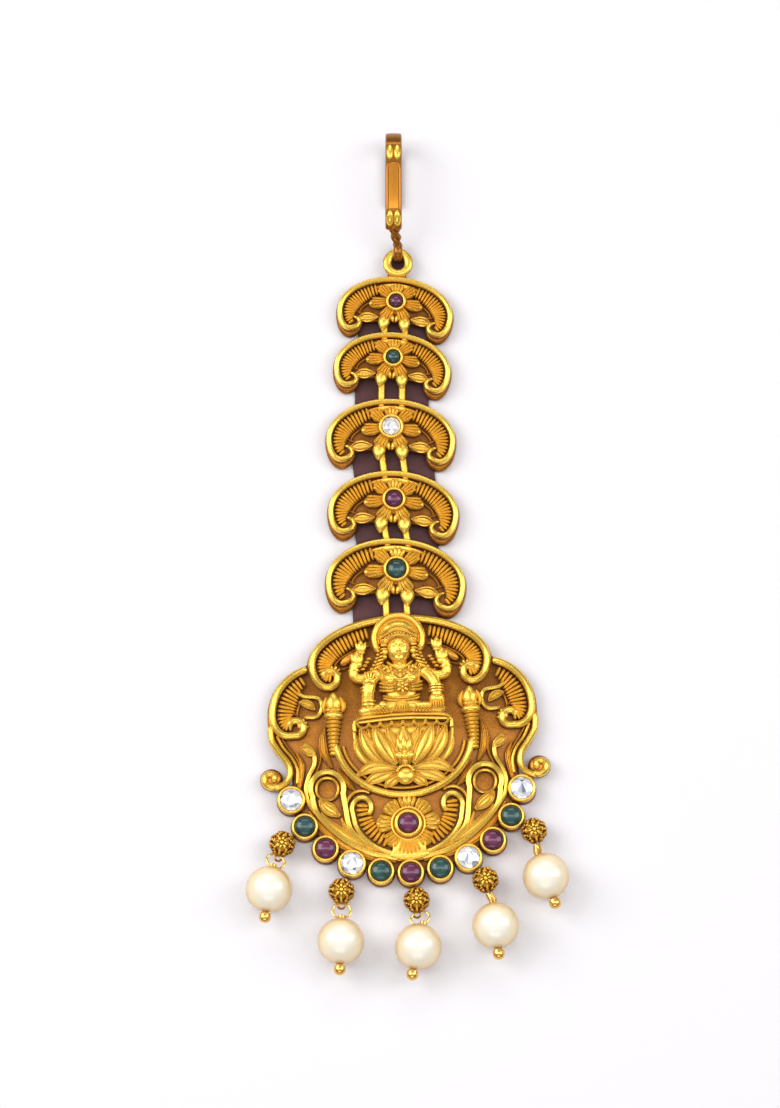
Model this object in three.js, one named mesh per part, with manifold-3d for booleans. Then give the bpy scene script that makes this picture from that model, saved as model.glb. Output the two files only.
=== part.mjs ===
// A maang tikka: five linked crescent plates, a large pendant plate with a seated figure on a lotus,
// eleven stones round its lower edge, five pearl drops and a hair hook.
// It lies on its back. +Z is up out of the front face and +Y runs along the chain towards the hook.
// The origin is the centre of the pendant plate's flat back.
import * as THREE from "three";
import { mergeVertices } from "three/addons/utils/BufferGeometryUtils.js";
import Module from "manifold-3d";

const wasm = await Module();
wasm.setup();

// ---------------------------------------------------------------- driving dimensions, millimetres and degrees

// Crescent plates from the hook down: centre of the stone, half width, turn, and the stone's kind and radius.
const crescents = [
  { x: -1.0, y: 57.3, halfWidth: 7.45, turn: -5, stone: "ruby", radius: 0.85 },
  { x: -1.35, y: 50.0, halfWidth: 7.5, turn: -4.5, stone: "emerald", radius: 0.85 },
  { x: -1.6, y: 41.0, halfWidth: 8.25, turn: -1.5, stone: "crystal", radius: 1.15 },
  { x: -1.25, y: 31.65, halfWidth: 8.3, turn: -2.8, stone: "ruby", radius: 1.05 },
  { x: -0.95, y: 22.7, halfWidth: 8.85, turn: -2.9, stone: "emerald", radius: 1.2 },
];

// One crescent's outline, as shares of its half width.
const form = {
  sideY: -0.2, // where the plate is widest
  topY: 0.465,
  lobeX: 0.745, // lowest point of each lobe
  lobeY: -0.65,
  heelX: 0.53, // where the lobe turns up into the arch
  heelY: -0.385,
  archX: 0.24, // ends of the straight stretch between the two arches
  archY: -0.34,
};
const crescentHeight = { plate: 1.35, draft: 0.3, rimRadius: 0.42, rimZ: 1.6, flower: 1.95 };
const lowerPetal = { x: 0.17, y: -0.33, rx: 0.1, ry: 0.17, z: 2.12, rz: 0.36, lean: 12 };

// Twin link rings between two plates, and the crossbars that they pass round in pockets in the plates' backs.
const link = { x: 1.3, wire: 0.18, barRadius: 0.22, barZ: 0.85, play: 0.2, topInset: 0.8, lowBar: -0.29 };
const pocket = { halfWidth: 0.72, behindBar: 0.95, top: 1.75, barHalf: 2.35 };

// The thin web behind the open arch of each crescent, which reaches down to just short of the next plate.
const web = { halfWidth: 0.6, topY: -0.28, height: 0.5, clearance: 0.28, points: 9 };

// The pendant plate, its two tiers of lobes, and the scroll that ends each side.
const pendant = { turn: 3, height: 1.3, draft: 0.3, rimRadius: 0.5, rimZ: 1.7, wireRadius: 0.42 };
const tierOne = { y: 11, rx: 11.5, ry: 6.1, lobeX: 9.0 };
const tierTwo = { x: 10.2, y: 4.8, rx: 6.5, ry: 6.6 };
const scroll = { x: 16.55, y: -2.95, radius: 1.45, height: 1.5 };
const heart = { x: 0, y: -9.45 };

// Round bezels: outer and inner radius, top, and the floor of the seat.
const bezels = {
  edge: { outer: 1.72, inner: 1.4, top: 2.15, seat: 1.2 },
  heart: { outer: 1.9, inner: 1.4, top: 2.75, seat: 1.6 },
  plate: { wall: 0.4, top: 2.45, seat: 1.5 },
};
const stone = { gap: 0.15, sides: 10, dome: 0.6, crown: 0.35 };

// The stones round the pendant's lower edge stand at equal angles on an arc that swells to each side.
const edgeStones = {
  centreY: -0.55,
  radius: 14.95,
  swell: 0.45,
  step: 14,
  perSide: 5,
  kinds: ["ruby", "emerald", "crystal", "ruby", "emerald", "crystal"], // from the middle outwards
};

// Pearl drops from left to right: centres of the rosette bead and the pearl, how far the pin is turned from
// straight down, the edge stone that the drop hangs from, and whether its wire loop lies flat.
const drops = [
  { bead: [-15.0, -12.0], pearl: [-16.55, -17.75], pinTurn: -8, stone: -4, flat: true },
  { bead: [-7.7, -17.85], pearl: [-7.75, -24.15], pinTurn: -2, stone: -2, flat: true },
  { bead: [1.5, -18.95], pearl: [1.7, -24.85], pinTurn: -12, stone: 0, flat: true },
  { bead: [9.95, -16.45], pearl: [11.15, -22.25], pinTurn: 6, stone: 2, flat: false },
  { bead: [15.95, -10.35], pearl: [17.35, -16.15], pinTurn: 18, stone: 4, flat: false },
];
const pearl = { radius: 2.9, bore: 0.42 };
const bead = { radius: 1.5, z: 2.05, lobes: 8, groove: 0.86 };
const upperEye = { radius: 0.5, wire: 0.14, z: 0.66, reach: 0.72 };
const lowerEye = { radius: 0.42, wire: 0.14, sink: 0.14 };
const pin = { wire: 0.16, ball: 0.74, tilt: 6, loopHalfWidth: 0.85, collarRadius: 0.45, collar: 0.42 };

// The hair hook: a flat strip bent into a U that opens towards the plates, on a shank and a round eye.
// The strip stands a little to the left of the eye.
const hook = {
  x: -0.75,
  stripX: -0.55,
  eye: { y: 63.95, z: 1.4, radius: 1.0, wire: 0.28 },
  shankRadius: 0.55,
  shank: [[0, 64.9, 1.7], [-0.25, 65.8, 3.0], [-0.5, 66.8, 4.7]],
  width: 2.1,
  thickness: 0.8,
  strip: [[66.3, 4.1], [67.2, 5.1], [68.6, 5.7], [72.0, 6.05]],
  bend: { y: 75.9, z: 3.35, radiusY: 2.6, radiusZ: 2.9 },
  tail: [[72.5, 0.45], [70.4, 0.45]],
};
const hangRing = { x: -0.2, y: 5.15, z: 1.4, radius: 1.35, wire: 0.36, neck: 0.8 };

// ---------------------------------------------------------------- helpers

const { degToRad, radToDeg } = THREE.MathUtils;

// A three.js geometry as a solid.
function solid(geometry, matrix) {
  const bare = (geometry.index ? geometry.toNonIndexed() : geometry.clone())
    .deleteAttribute("normal")
    .deleteAttribute("uv");
  if (matrix) bare.applyMatrix4(matrix);
  const merged = mergeVertices(bare, 1e-4);
  return new wasm.Manifold(
    new wasm.Mesh({
      numProp: 3,
      vertProperties: new Float32Array(merged.attributes.position.array),
      triVerts: new Uint32Array(merged.index.array),
    }),
  );
}

function joined(solids) {
  return solids.reduce((sum, next) => sum.add(next));
}

function geometryOf(made) {
  const { numVert, numProp, vertProperties, triVerts } = made.getMesh();
  const position = new Float32Array(numVert * 3);
  for (let i = 0; i < numVert; i++) {
    position.set(vertProperties.subarray(i * numProp, i * numProp + 3), i * 3);
  }
  return new THREE.BufferGeometry()
    .setAttribute("position", new THREE.BufferAttribute(position, 3))
    .setIndex(new THREE.BufferAttribute(new Uint32Array(triVerts), 1));
}

function at(x, y, z, turn = 0, scale = [1, 1, 1]) {
  return new THREE.Matrix4().compose(
    new THREE.Vector3(x, y, z),
    new THREE.Quaternion().setFromAxisAngle(new THREE.Vector3(0, 0, 1), degToRad(turn)),
    new THREE.Vector3(...scale),
  );
}

function ellipsoid(x, y, z, rx, ry, rz, turn = 0, around = 8) {
  return solid(new THREE.SphereGeometry(1, around, 4), at(x, y, z, turn, [rx, ry, rz]));
}

// An upright cylinder from one height to another.
function post(x, y, low, high, radius, sides = 10) {
  const geometry = new THREE.CylinderGeometry(radius, radius, high - low, sides);
  geometry.rotateX(Math.PI / 2);
  return solid(geometry, at(x, y, (low + high) / 2));
}

function block(x0, x1, y0, y1, z0, z1) {
  return solid(
    new THREE.BoxGeometry(x1 - x0, y1 - y0, z1 - z0),
    at((x0 + x1) / 2, (y0 + y1) / 2, (z0 + z1) / 2),
  );
}

// A plate standing on z = 0 whose edge slopes in by draft over its upper part.
function plate(outline, height, draft, curveSegments) {
  const foot = 0.4;
  const geometry = new THREE.ExtrudeGeometry(outline, {
    depth: foot,
    bevelThickness: height - foot,
    bevelSize: draft,
    bevelOffset: -draft,
    bevelSegments: 1,
    curveSegments,
  });
  return solid(geometry).subtract(block(-40, 40, -40, 40, -10, 0));
}

// A section swept along a curve through points [x, y, z].
function swept(section, points, steps, curveSegments = 3) {
  const curve = new THREE.CatmullRomCurve3(points.map((p) => new THREE.Vector3(...p)), false, "centripetal");
  return solid(new THREE.ExtrudeGeometry(section, { steps, curveSegments, extrudePath: curve }));
}

function wire(points, radius, steps, sides = 6) {
  const section = new THREE.Shape().absarc(0, 0, radius, 0, Math.PI * 2, false);
  return swept(section, points, steps, sides / 2);
}

// Points at height z along an elliptical arc, from one angle to another.
function arcPoints(cx, cy, rx, ry, from, to, z, count) {
  return Array.from({ length: count }, (_, i) => {
    const a = degToRad(from + ((to - from) * i) / (count - 1));
    return [cx + rx * Math.cos(a), cy + ry * Math.sin(a), z];
  });
}

function mirrored(points) {
  return points.map(([x, ...rest]) => [-x, ...rest]);
}

// Each of some wires and its mirror image.
function wirePair(points, radius, steps) {
  return [wire(points, radius, steps, 4), wire(mirrored(points), radius, steps, 4)];
}

// A flat ring that lies in the XY plane.
function ring(radius, wireRadius, around = 10, sides = 4) {
  return new THREE.TorusGeometry(radius, wireRadius, sides, around);
}

// A ring drawn out along X by stretch at each side, with straight sides, standing on edge.
function longUprightRing(radius, wireRadius, stretch) {
  const geometry = ring(radius, wireRadius, 12, 5);
  const position = geometry.getAttribute("position");
  for (let i = 0; i < position.count; i++) {
    const x = position.getX(i);
    if (Math.abs(x) > 1e-3) position.setX(i, x + Math.sign(x) * stretch);
  }
  return geometry.rotateX(Math.PI / 2);
}

// A flower whose petals stand out round its middle.
function flower(x, y, low, high, inner, outer, petals) {
  const shape = new THREE.Shape();
  for (let i = 0; i < petals * 2; i++) {
    const a = (Math.PI * (i + 0.5)) / petals;
    const r = i % 2 === 0 ? inner : outer;
    shape[i === 0 ? "moveTo" : "lineTo"](r * Math.cos(a), r * Math.sin(a));
  }
  shape.closePath();
  return solid(new THREE.ExtrudeGeometry(shape, { depth: high - low, bevelEnabled: false }), at(x, y, low));
}

// ---------------------------------------------------------------- materials

const looks = {
  gold: { color: 0xd79a2b, roughness: 0.35, metalness: 1 },
  wire: { color: 0xe6b25a, roughness: 0.25, metalness: 1 },
  ruby: { color: 0x7a1740, roughness: 0.12, metalness: 0 },
  emerald: { color: 0x1e5247, roughness: 0.12, metalness: 0 },
  crystal: { color: 0xf2f2f4, roughness: 0.05, metalness: 0 },
  pearl: { color: 0xefe3c4, roughness: 0.3, metalness: 0 },
};

function named(name, geometry, look) {
  const mesh = new THREE.Mesh(geometry, new THREE.MeshStandardMaterial(looks[look]));
  mesh.name = name;
  return mesh;
}

// ---------------------------------------------------------------- stones and bezels

function bezelCup(x, y, low, size) {
  return post(x, y, low, size.top, size.outer);
}

function bezelSeat(x, y, size) {
  return post(x, y, size.seat, size.top + 1, size.inner, stone.sides);
}

// A domed stone, or one with a low faceted crown where it is crystal, in its bezel's seat.
function stoneMesh(name, kind, x, y, size) {
  const r = size.inner - stone.gap;
  const foot = size.seat + stone.gap;
  const girdle = size.top - 0.1;
  const rise = kind === "crystal" ? stone.crown : stone.dome;
  const profile = [[0, foot], [r * 0.8, foot], [r, girdle], [r * 0.7, girdle + rise * 0.75], [0, girdle + rise]];
  const geometry = new THREE.LatheGeometry(profile.map((p) => new THREE.Vector2(...p)), stone.sides);
  geometry.rotateX(Math.PI / 2);
  const mesh = named(name, geometry, kind);
  mesh.position.set(x, y, 0);
  return mesh;
}

// ---------------------------------------------------------------- crescent plates

function crescentOutline(s) {
  const { PI } = Math;
  const lobe = { x: form.lobeX * s, rx: (1 - form.lobeX) * s, ry: (form.sideY - form.lobeY) * s };
  const curl = { rx: (form.lobeX - form.heelX) * s, ry: (form.heelY - form.lobeY) * s };
  const side = form.sideY * s;
  const heel = form.heelY * s;
  const outline = new THREE.Shape();
  outline.moveTo(s, side);
  outline.absellipse(0, side, s, (form.topY - form.sideY) * s, 0, PI, false, 0);
  outline.absellipse(-lobe.x, side, lobe.rx, lobe.ry, PI, PI * 1.5, false, 0);
  outline.absellipse(-lobe.x, heel, curl.rx, curl.ry, PI * 1.5, PI * 2, false, 0);
  outline.lineTo(-form.archX * s, form.archY * s);
  outline.lineTo(form.archX * s, form.archY * s);
  outline.lineTo(form.heelX * s, heel);
  outline.absellipse(lobe.x, heel, curl.rx, curl.ry, PI, PI * 1.5, false, 0);
  outline.absellipse(lobe.x, side, lobe.rx, lobe.ry, PI * 1.5, PI * 2, false, 0);
  return outline;
}

// The raised rim runs round the outside from one lobe's curl to the other's.
function crescentRim(s) {
  const { rimRadius, rimZ, draft } = crescentHeight;
  const inset = rimRadius + draft * 0.6;
  const curlX = (form.lobeX - form.heelX) * s - inset;
  const curlY = (form.heelY - form.lobeY) * s - inset;
  const lobeX = (1 - form.lobeX) * s - inset;
  const lobeY = (form.sideY - form.lobeY) * s - inset;
  const side = [
    ...arcPoints(-form.lobeX * s, form.heelY * s, curlX, curlY, 350, 285, rimZ, 3),
    ...arcPoints(-form.lobeX * s, form.sideY * s, lobeX, lobeY, 250, 195, rimZ, 4),
  ];
  const crown = (form.topY - form.sideY) * s - inset;
  const top = arcPoints(0, form.sideY * s, s - inset, crown, 176, 4, rimZ, 13);
  return wire([...side, ...top, ...mirrored(side).reverse()], rimRadius, 28, 4);
}

function topBarY(index) {
  return form.topY * crescents[index].halfWidth - link.topInset;
}

function lowBarY(index) {
  return link.lowBar * crescents[index].halfWidth;
}

// Cuts two pockets into a plate's back for the twin rings, open to one edge, and puts the crossbar across them.
function withPockets(made, barY, towards) {
  const edges = [barY - towards * pocket.behindBar, barY + towards * 6];
  for (const x of [-link.x, link.x]) {
    const [left, right] = [x - pocket.halfWidth, x + pocket.halfWidth];
    made = made.subtract(block(left, right, Math.min(...edges), Math.max(...edges), -1, pocket.top));
  }
  const bar = new THREE.CylinderGeometry(link.barRadius, link.barRadius, pocket.barHalf * 2, 6);
  return made.add(solid(bar.rotateZ(Math.PI / 2), at(0, barY, link.barZ)));
}

// The web's outline: straight at the top, and round the upper edge of the next plate at the bottom.
function webPlate(index) {
  const from = crescents[index];
  const half = web.halfWidth * from.halfWidth;
  const next = crescents[index + 1];
  const s = next?.halfWidth;
  const crown = next
    ? { ...next, cy: form.sideY * s, rx: s, ry: (form.topY - form.sideY) * s }
    : { ...pendant, cy: tierOne.y, rx: tierOne.rx, ry: tierOne.ry };
  const shape = new THREE.Shape();
  shape.moveTo(half, web.topY * from.halfWidth);
  shape.lineTo(-half, web.topY * from.halfWidth);
  for (let i = 0; i < web.points; i++) {
    const x = -half + (2 * half * i) / (web.points - 1);
    const y = crown.cy + crown.ry * Math.sqrt(1 - (x / crown.rx) ** 2) + web.clearance;
    const spot = placed(crown, x, y).sub(new THREE.Vector2(from.x, from.y));
    spot.rotateAround(new THREE.Vector2(), degToRad(-from.turn));
    shape.lineTo(spot.x, spot.y);
  }
  shape.closePath();
  return solid(new THREE.ExtrudeGeometry(shape, { depth: web.height, bevelEnabled: false }));
}

// The leaf in each lobe, and the two petals that hang over the low crossbar.
function crescentLeaves(s) {
  const petal = lowerPetal;
  return [-1, 1].flatMap((side) => [
    ellipsoid(side * 0.43 * s, -0.27 * s, 1.3, 0.16 * s, 0.07 * s, 0.55, side * 15),
    ellipsoid(side * petal.x * s, petal.y * s, petal.z, petal.rx * s, petal.ry * s, petal.rz, side * petal.lean),
  ]);
}

function plateBezel(index) {
  const inner = crescents[index].radius + stone.gap;
  return { ...bezels.plate, inner, outer: inner + bezels.plate.wall };
}

function crescentGeometry(index) {
  const s = crescents[index].halfWidth;
  const { plate: height, draft, flower: flowerTop } = crescentHeight;
  const bezel = plateBezel(index);
  let made = joined([
    plate(crescentOutline(s), height, draft, 3),
    webPlate(index),
    crescentRim(s),
    flower(0, -0.1, height - 0.1, flowerTop, 0.27 * s, 0.36 * s, 8),
    bezelCup(0, 0, height - 0.1, bezel),
  ]);
  made = withPockets(made, lowBarY(index), -1);
  if (index > 0) made = withPockets(made, topBarY(index), 1);
  else made = made.add(hangingRing());
  return geometryOf(joined([made, ...crescentLeaves(s)]).subtract(bezelSeat(0, 0, bezel)));
}

// The ring on the first plate that the hook hangs in.
function hangingRing() {
  const low = 3.0;
  const high = hangRing.y - hangRing.radius + 0.15;
  return joined([
    solid(ring(hangRing.radius, hangRing.wire, 14, 6), at(hangRing.x, hangRing.y, hangRing.z)),
    block(hangRing.x - hangRing.neck, hangRing.x + hangRing.neck, low, high, 0.8, hangRing.z + 0.2),
  ]);
}

// ---------------------------------------------------------------- pendant plate

function pendantOutline() {
  const neck = { x: 14.7, y: -1.2 };
  const shoulder = { x: 16.75, y: 2.6 };
  const start = { x: 14.2, y: -4.6 };
  const outline = new THREE.Shape();
  outline.moveTo(start.x, start.y);
  outline.quadraticCurveTo(13.6, -2.6, neck.x, neck.y);
  outline.quadraticCurveTo(16.4, 0.6, shoulder.x, shoulder.y);
  outline.lineTo(tierTwo.x + tierTwo.rx, tierTwo.y);
  outline.absellipse(tierTwo.x, tierTwo.y, tierTwo.rx, tierTwo.ry, 0, degToRad(77), false, 0);
  outline.absellipse(0, tierOne.y, tierOne.rx, tierOne.ry, degToRad(4), degToRad(176), false, 0);
  outline.absellipse(-tierTwo.x, tierTwo.y, tierTwo.rx, tierTwo.ry, degToRad(103), Math.PI, false, 0);
  outline.lineTo(-shoulder.x, shoulder.y);
  outline.quadraticCurveTo(-16.4, 0.6, -neck.x, neck.y);
  outline.quadraticCurveTo(-13.6, -2.6, -start.x, start.y);
  outline.absellipse(0, edgeStones.centreY, 14.7, 14.95, degToRad(196), degToRad(344), false, 0);
  return outline;
}

// The raised rims of the two tiers of lobes.
function tierRims() {
  const { rimRadius, rimZ } = pendant;
  const inset = rimRadius + 0.2;
  const lobe = [
    ...arcPoints(-tierOne.lobeX, 8.9, 1.7, 1.2, 350, 285, rimZ, 3),
    ...arcPoints(-tierOne.lobeX, tierOne.y, 2.5 - inset, 3.5 - inset, 262, 195, rimZ, 4),
  ];
  const crown = arcPoints(0, tierOne.y, tierOne.rx - inset, tierOne.ry - inset, 176, 4, rimZ, 13);
  const wing = [
    ...arcPoints(tierTwo.x, tierTwo.y, tierTwo.rx - inset, tierTwo.ry - inset, 72, 3, rimZ, 6),
    ...arcPoints(14.2, tierTwo.y, 2.5 - inset, 3.0 - inset, -20, -90, rimZ, 4),
    [12.9, 2.9, rimZ],
    [12.1, 3.7, rimZ],
  ];
  return [wire([...lobe, ...crown, ...mirrored(lobe).reverse()], rimRadius, 30, 4), ...wirePair(wing, rimRadius, 13)];
}

// The scrollwork under the tiers: neck and outward curl, stem, loop, and the crescent round the heart stone.
function scrollwork() {
  const z = pendant.rimZ - 0.25;
  const r = pendant.wireRadius;
  const neck = [
    [16.35, 3.2, z],
    [16.0, 1.0, z],
    [14.6, -0.9, z],
    [14.3, -2.6, z],
    [15.2, -3.9, z],
    [16.9, -4.0, z],
    [17.5, -2.9, z],
    [16.7, -2.1, z],
  ];
  const stem = [
    [12.2, 0.4, z],
    [11.2, -1.4, z],
    [12.0, -4.0, z],
    [12.2, -6.6, z],
  ];
  const loop = [
    [7.3, -8.6, z],
    ...arcPoints(9.4, -4.6, 2.0, 2.2, 215, -40, z, 7),
    [9.5, -8.6, z],
    [6.6, -11.6, z],
  ];
  const smileEnd = [
    [-3.9, -6.8, z],
    [-5.3, -5.7, z],
    [-6.9, -7.2, z],
  ];
  const smile = [
    ...smileEnd,
    ...arcPoints(0, -7.6, 7.0, 5.6, 195, 345, z, 9),
    ...mirrored(smileEnd).reverse(),
  ];
  return [...wirePair(neck, r, 12), ...wirePair(stem, r, 5), ...wirePair(loop, r, 13), wire(smile, r, 20, 4)];
}

// The U-shaped frame round the figure, with a ribbed finial on each end.
function ovalFrame() {
  const z = pendant.rimZ + 0.2;
  const end = [8.6, 3.2, z];
  const bow = arcPoints(0, 1.6, 8.5, 7.4, 185, 355, z, 11);
  const finials = [-1, 1].flatMap((side) => [
    ellipsoid(side * 8.6, 3.4, 1.9, 0.75, 2.0, 0.8, side * 3),
    ellipsoid(side * 8.5, 5.2, 1.9, 0.95, 1.2, 0.9),
  ]);
  return [wire([...mirrored([end]), ...bow, end], pendant.wireRadius, 16, 4), ...finials];
}

// The seated four-armed figure, from the halo down to the knees.
function figure() {
  const halo = arcPoints(0, 13.6, 2.9, 2.95, -15, 195, 2.1, 7);
  const rearArm = [[2.4, 9.6, 2.0], [4.7, 8.3, 2.0], [5.0, 11.3, 2.1]];
  const foreArm = [[2.5, 9.5, 2.5], [3.8, 7.6, 2.6], [4.1, 5.4, 2.4]];
  return [
    wire(halo, 0.4, 9),
    ellipsoid(0, 14.3, 1.9, 2.6, 1.8, 1.1),
    ellipsoid(0, 12.6, 2.6, 1.45, 1.65, 1.15, 0, 10),
    ellipsoid(0, 9.7, 2.1, 3.3, 1.2, 0.95, 0, 10),
    ellipsoid(0, 7.8, 2.2, 2.5, 2.2, 1.05, 0, 10),
    ...wirePair(rearArm, 0.6, 4),
    ...wirePair(foreArm, 0.62, 4),
    ellipsoid(4.95, 11.6, 2.1, 0.75, 1.0, 0.7),
    ellipsoid(-4.95, 11.6, 2.1, 0.75, 1.0, 0.7),
    ellipsoid(0, 4.4, 2.1, 5.5, 1.25, 1.35, 0, 10),
  ];
}

// The lotus seat: a bowl of upright petals over four spread ones and a roundel.
function lotus() {
  const upper = [-62, -32, 0, 32, 62].map((lean) => {
    const side = Math.sin(degToRad(lean));
    return ellipsoid(4.9 * side, 1.1 - 0.4 * Math.abs(side), 1.9, 1.45, 2.7, 1.15, -lean * 0.6);
  });
  const lower = [-1, 1].flatMap((side) => [
    ellipsoid(side * 3.9, -3.0, 1.5, 2.0, 0.8, 0.8, side * -14),
    ellipsoid(side * 2.3, -3.9, 1.5, 1.7, 0.8, 0.8, side * -35),
  ]);
  return [...upper, ...lower, ellipsoid(0, -3.5, 1.8, 1.2, 1.1, 0.8)];
}

function edgeStonePlace(i) {
  const angle = degToRad(edgeStones.step * i);
  const r = edgeStones.radius + edgeStones.swell * Math.sin(2 * angle) ** 2;
  return [r * Math.sin(angle), edgeStones.centreY - r * Math.cos(angle)];
}

const edgeIndexes = Array.from({ length: edgeStones.perSide * 2 + 1 }, (_, i) => i - edgeStones.perSide);

function pendantGeometry() {
  const places = edgeIndexes.map(edgeStonePlace);
  const ground = pendant.height - 0.2;
  let made = joined([
    plate(pendantOutline(), pendant.height, pendant.draft, 6),
    post(scroll.x, scroll.y, 0, scroll.height, scroll.radius),
    post(-scroll.x, scroll.y, 0, scroll.height, scroll.radius),
    ...places.map(([x, y]) => bezelCup(x, y, 0, bezels.edge)),
    ...tierRims(),
    ...scrollwork(),
    flower(heart.x, heart.y, ground, 2.0, 2.2, 3.0, 8),
    bezelCup(heart.x, heart.y, ground, bezels.heart),
    ...ovalFrame(),
    ...lotus(),
    ...figure(),
    ...drops.map(dropLug),
  ]);
  made = withPockets(made, tierOne.y + tierOne.ry - link.topInset, 1);
  for (const [x, y] of places) made = made.subtract(bezelSeat(x, y, bezels.edge));
  return geometryOf(made.subtract(bezelSeat(heart.x, heart.y, bezels.heart)));
}

// ---------------------------------------------------------------- pearl drops

// Where a drop starts: its edge stone's centre, the direction to its bead, and the point where its rings link.
function dropLine(drop) {
  const from = new THREE.Vector2(...edgeStonePlace(drop.stone));
  from.rotateAround(new THREE.Vector2(), degToRad(pendant.turn));
  const away = new THREE.Vector2(...drop.bead).sub(from).normalize();
  const joint = from.clone().addScaledVector(away, bezels.edge.outer + upperEye.reach);
  return { away, joint, angle: radToDeg(away.angle()) };
}

// The lug under an edge bezel, in the pendant's own turned frame: a bar on two arms.
function dropLug(drop) {
  const { joint, angle } = dropLine(drop);
  const centre = joint.clone().rotateAround(new THREE.Vector2(), degToRad(-pendant.turn));
  const reach = upperEye.reach + 0.3;
  const half = 0.5;
  const { wire: w, z } = upperEye;
  const lug = joined([
    block(-w, w, -half - w, half + w, z - w, z + w),
    block(-reach, w, half - w, half + w, z - w, z + w),
    block(-reach, w, -half - w, -half + w, z - w, z + w),
  ]);
  return lug.transform(at(centre.x, centre.y, 0, angle - pendant.turn).elements);
}

// How far a rosette bead is turned about Z so that its -Y points at its pearl.
function beadTurn(drop) {
  const [dx, dy] = [drop.pearl[0] - drop.bead[0], drop.pearl[1] - drop.bead[1]];
  return Math.atan2(dx, -dy);
}

// The rosette bead: a lobed ball, an eye at -Y for the pin's loop, and one towards the pendant for its lug.
function beadGeometry(drop) {
  const ball = new THREE.SphereGeometry(bead.radius, bead.lobes * 2, 6);
  const position = ball.getAttribute("position");
  for (let i = 0; i < position.count; i++) {
    const a = Math.atan2(position.getZ(i), position.getX(i));
    const k = 1 - (1 - bead.groove) * (0.5 - 0.5 * Math.cos(a * bead.lobes));
    position.setX(i, position.getX(i) * k);
    position.setZ(i, position.getZ(i) * k);
  }
  const { joint, angle } = dropLine(drop);
  const turn = beadTurn(drop);
  const linked = joint.sub(new THREE.Vector2(...drop.bead)).rotateAround(new THREE.Vector2(), -turn);
  const top = ring(upperEye.radius, upperEye.wire).rotateX(Math.PI / 2);
  const foot = ring(lowerEye.radius, lowerEye.wire);
  if (drop.flat) foot.rotateY(Math.PI / 2);
  return geometryOf(
    joined([
      solid(ball),
      solid(top, at(linked.x, linked.y, upperEye.z - bead.z, angle - radToDeg(turn))),
      solid(foot, at(0, -bead.radius - lowerEye.radius + lowerEye.sink, 0)),
    ]),
  );
}

// The head pin in the pearl's frame, ball at -Y: end ball, shaft through the bore, wrapped collar and wire loop.
function pinGeometry(loopEnd, flat) {
  const ballY = -pearl.radius - pin.ball + 0.1;
  const collarY = pearl.radius + pin.collar / 2 + 0.08;
  const shaft = new THREE.CylinderGeometry(pin.wire, pin.wire, collarY - ballY, 6);
  const collar = new THREE.CylinderGeometry(pin.collarRadius, pin.collarRadius, pin.collar, 8);
  const start = new THREE.Vector3(0, collarY, 0);
  const middle = start.clone().lerp(loopEnd, 0.5);
  const sideways = flat ? new THREE.Vector3(pin.loopHalfWidth, 0, 0) : new THREE.Vector3(0, 0, pin.loopHalfWidth);
  const outline = [start, middle.clone().add(sideways), loopEnd, middle.clone().sub(sideways), start];
  return geometryOf(
    joined([
      ellipsoid(0, ballY, 0, pin.ball, pin.ball, pin.ball),
      solid(shaft, at(0, (ballY + collarY) / 2, 0)),
      solid(collar, at(0, collarY, 0)),
      wire(outline.map((p) => p.toArray()), pin.wire, 12, 4),
    ]),
  );
}

function pearlGeometry() {
  const open = Math.asin(pearl.bore / pearl.radius);
  const count = 9;
  const profile = Array.from({ length: count }, (_, i) => {
    const a = open + ((Math.PI - 2 * open) * i) / (count - 1);
    return new THREE.Vector2(pearl.radius * Math.sin(a), -pearl.radius * Math.cos(a));
  });
  return new THREE.LatheGeometry([...profile, profile[0].clone()], 14);
}

function dropMeshes(drop, number) {
  const beadMesh = named(`rosette_bead_${number}`, beadGeometry(drop), "gold");
  beadMesh.position.set(...drop.bead, bead.z);
  beadMesh.rotation.z = beadTurn(drop);
  beadMesh.updateMatrix();
  const foot = new THREE.Vector3(0, -bead.radius - lowerEye.radius + lowerEye.sink, 0);

  const hanging = new THREE.Group();
  hanging.position.set(...drop.pearl, pearl.radius);
  hanging.rotation.set(degToRad(-pin.tilt), 0, degToRad(drop.pinTurn), "ZYX");
  hanging.updateMatrix();
  const loopEnd = foot.applyMatrix4(beadMesh.matrix).applyMatrix4(hanging.matrix.clone().invert());
  hanging.add(named(`head_pin_${number}`, pinGeometry(loopEnd, drop.flat), "wire"));
  hanging.add(named(`pearl_${number}`, pearlGeometry(), "pearl"));
  return [beadMesh, hanging];
}

// ---------------------------------------------------------------- link rings

// A point in a plate's own frame, in the part's frame.
function placed({ x = 0, y = 0, turn }, px, py) {
  return new THREE.Vector2(px, py).rotateAround(new THREE.Vector2(), degToRad(turn)).add(new THREE.Vector2(x, y));
}

// One ring of a pair, between the low crossbar of a plate and the top crossbar of the next.
function linkRing(index, side) {
  const next = index + 1 < crescents.length;
  const from = placed(crescents[index], side * link.x, lowBarY(index));
  const to = next
    ? placed(crescents[index + 1], side * link.x, topBarY(index + 1))
    : placed(pendant, side * link.x, tierOne.y + tierOne.ry - link.topInset);
  const radius = link.barRadius + link.play + link.wire;
  const geometry = longUprightRing(radius, link.wire, from.distanceTo(to) / 2);
  const mesh = named(`link_ring_${index + 1}_${side < 0 ? "left" : "right"}`, geometry, "gold");
  mesh.position.set((from.x + to.x) / 2, (from.y + to.y) / 2, link.barZ);
  mesh.rotation.z = to.sub(from).angle();
  return mesh;
}

// ---------------------------------------------------------------- hair hook

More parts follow.
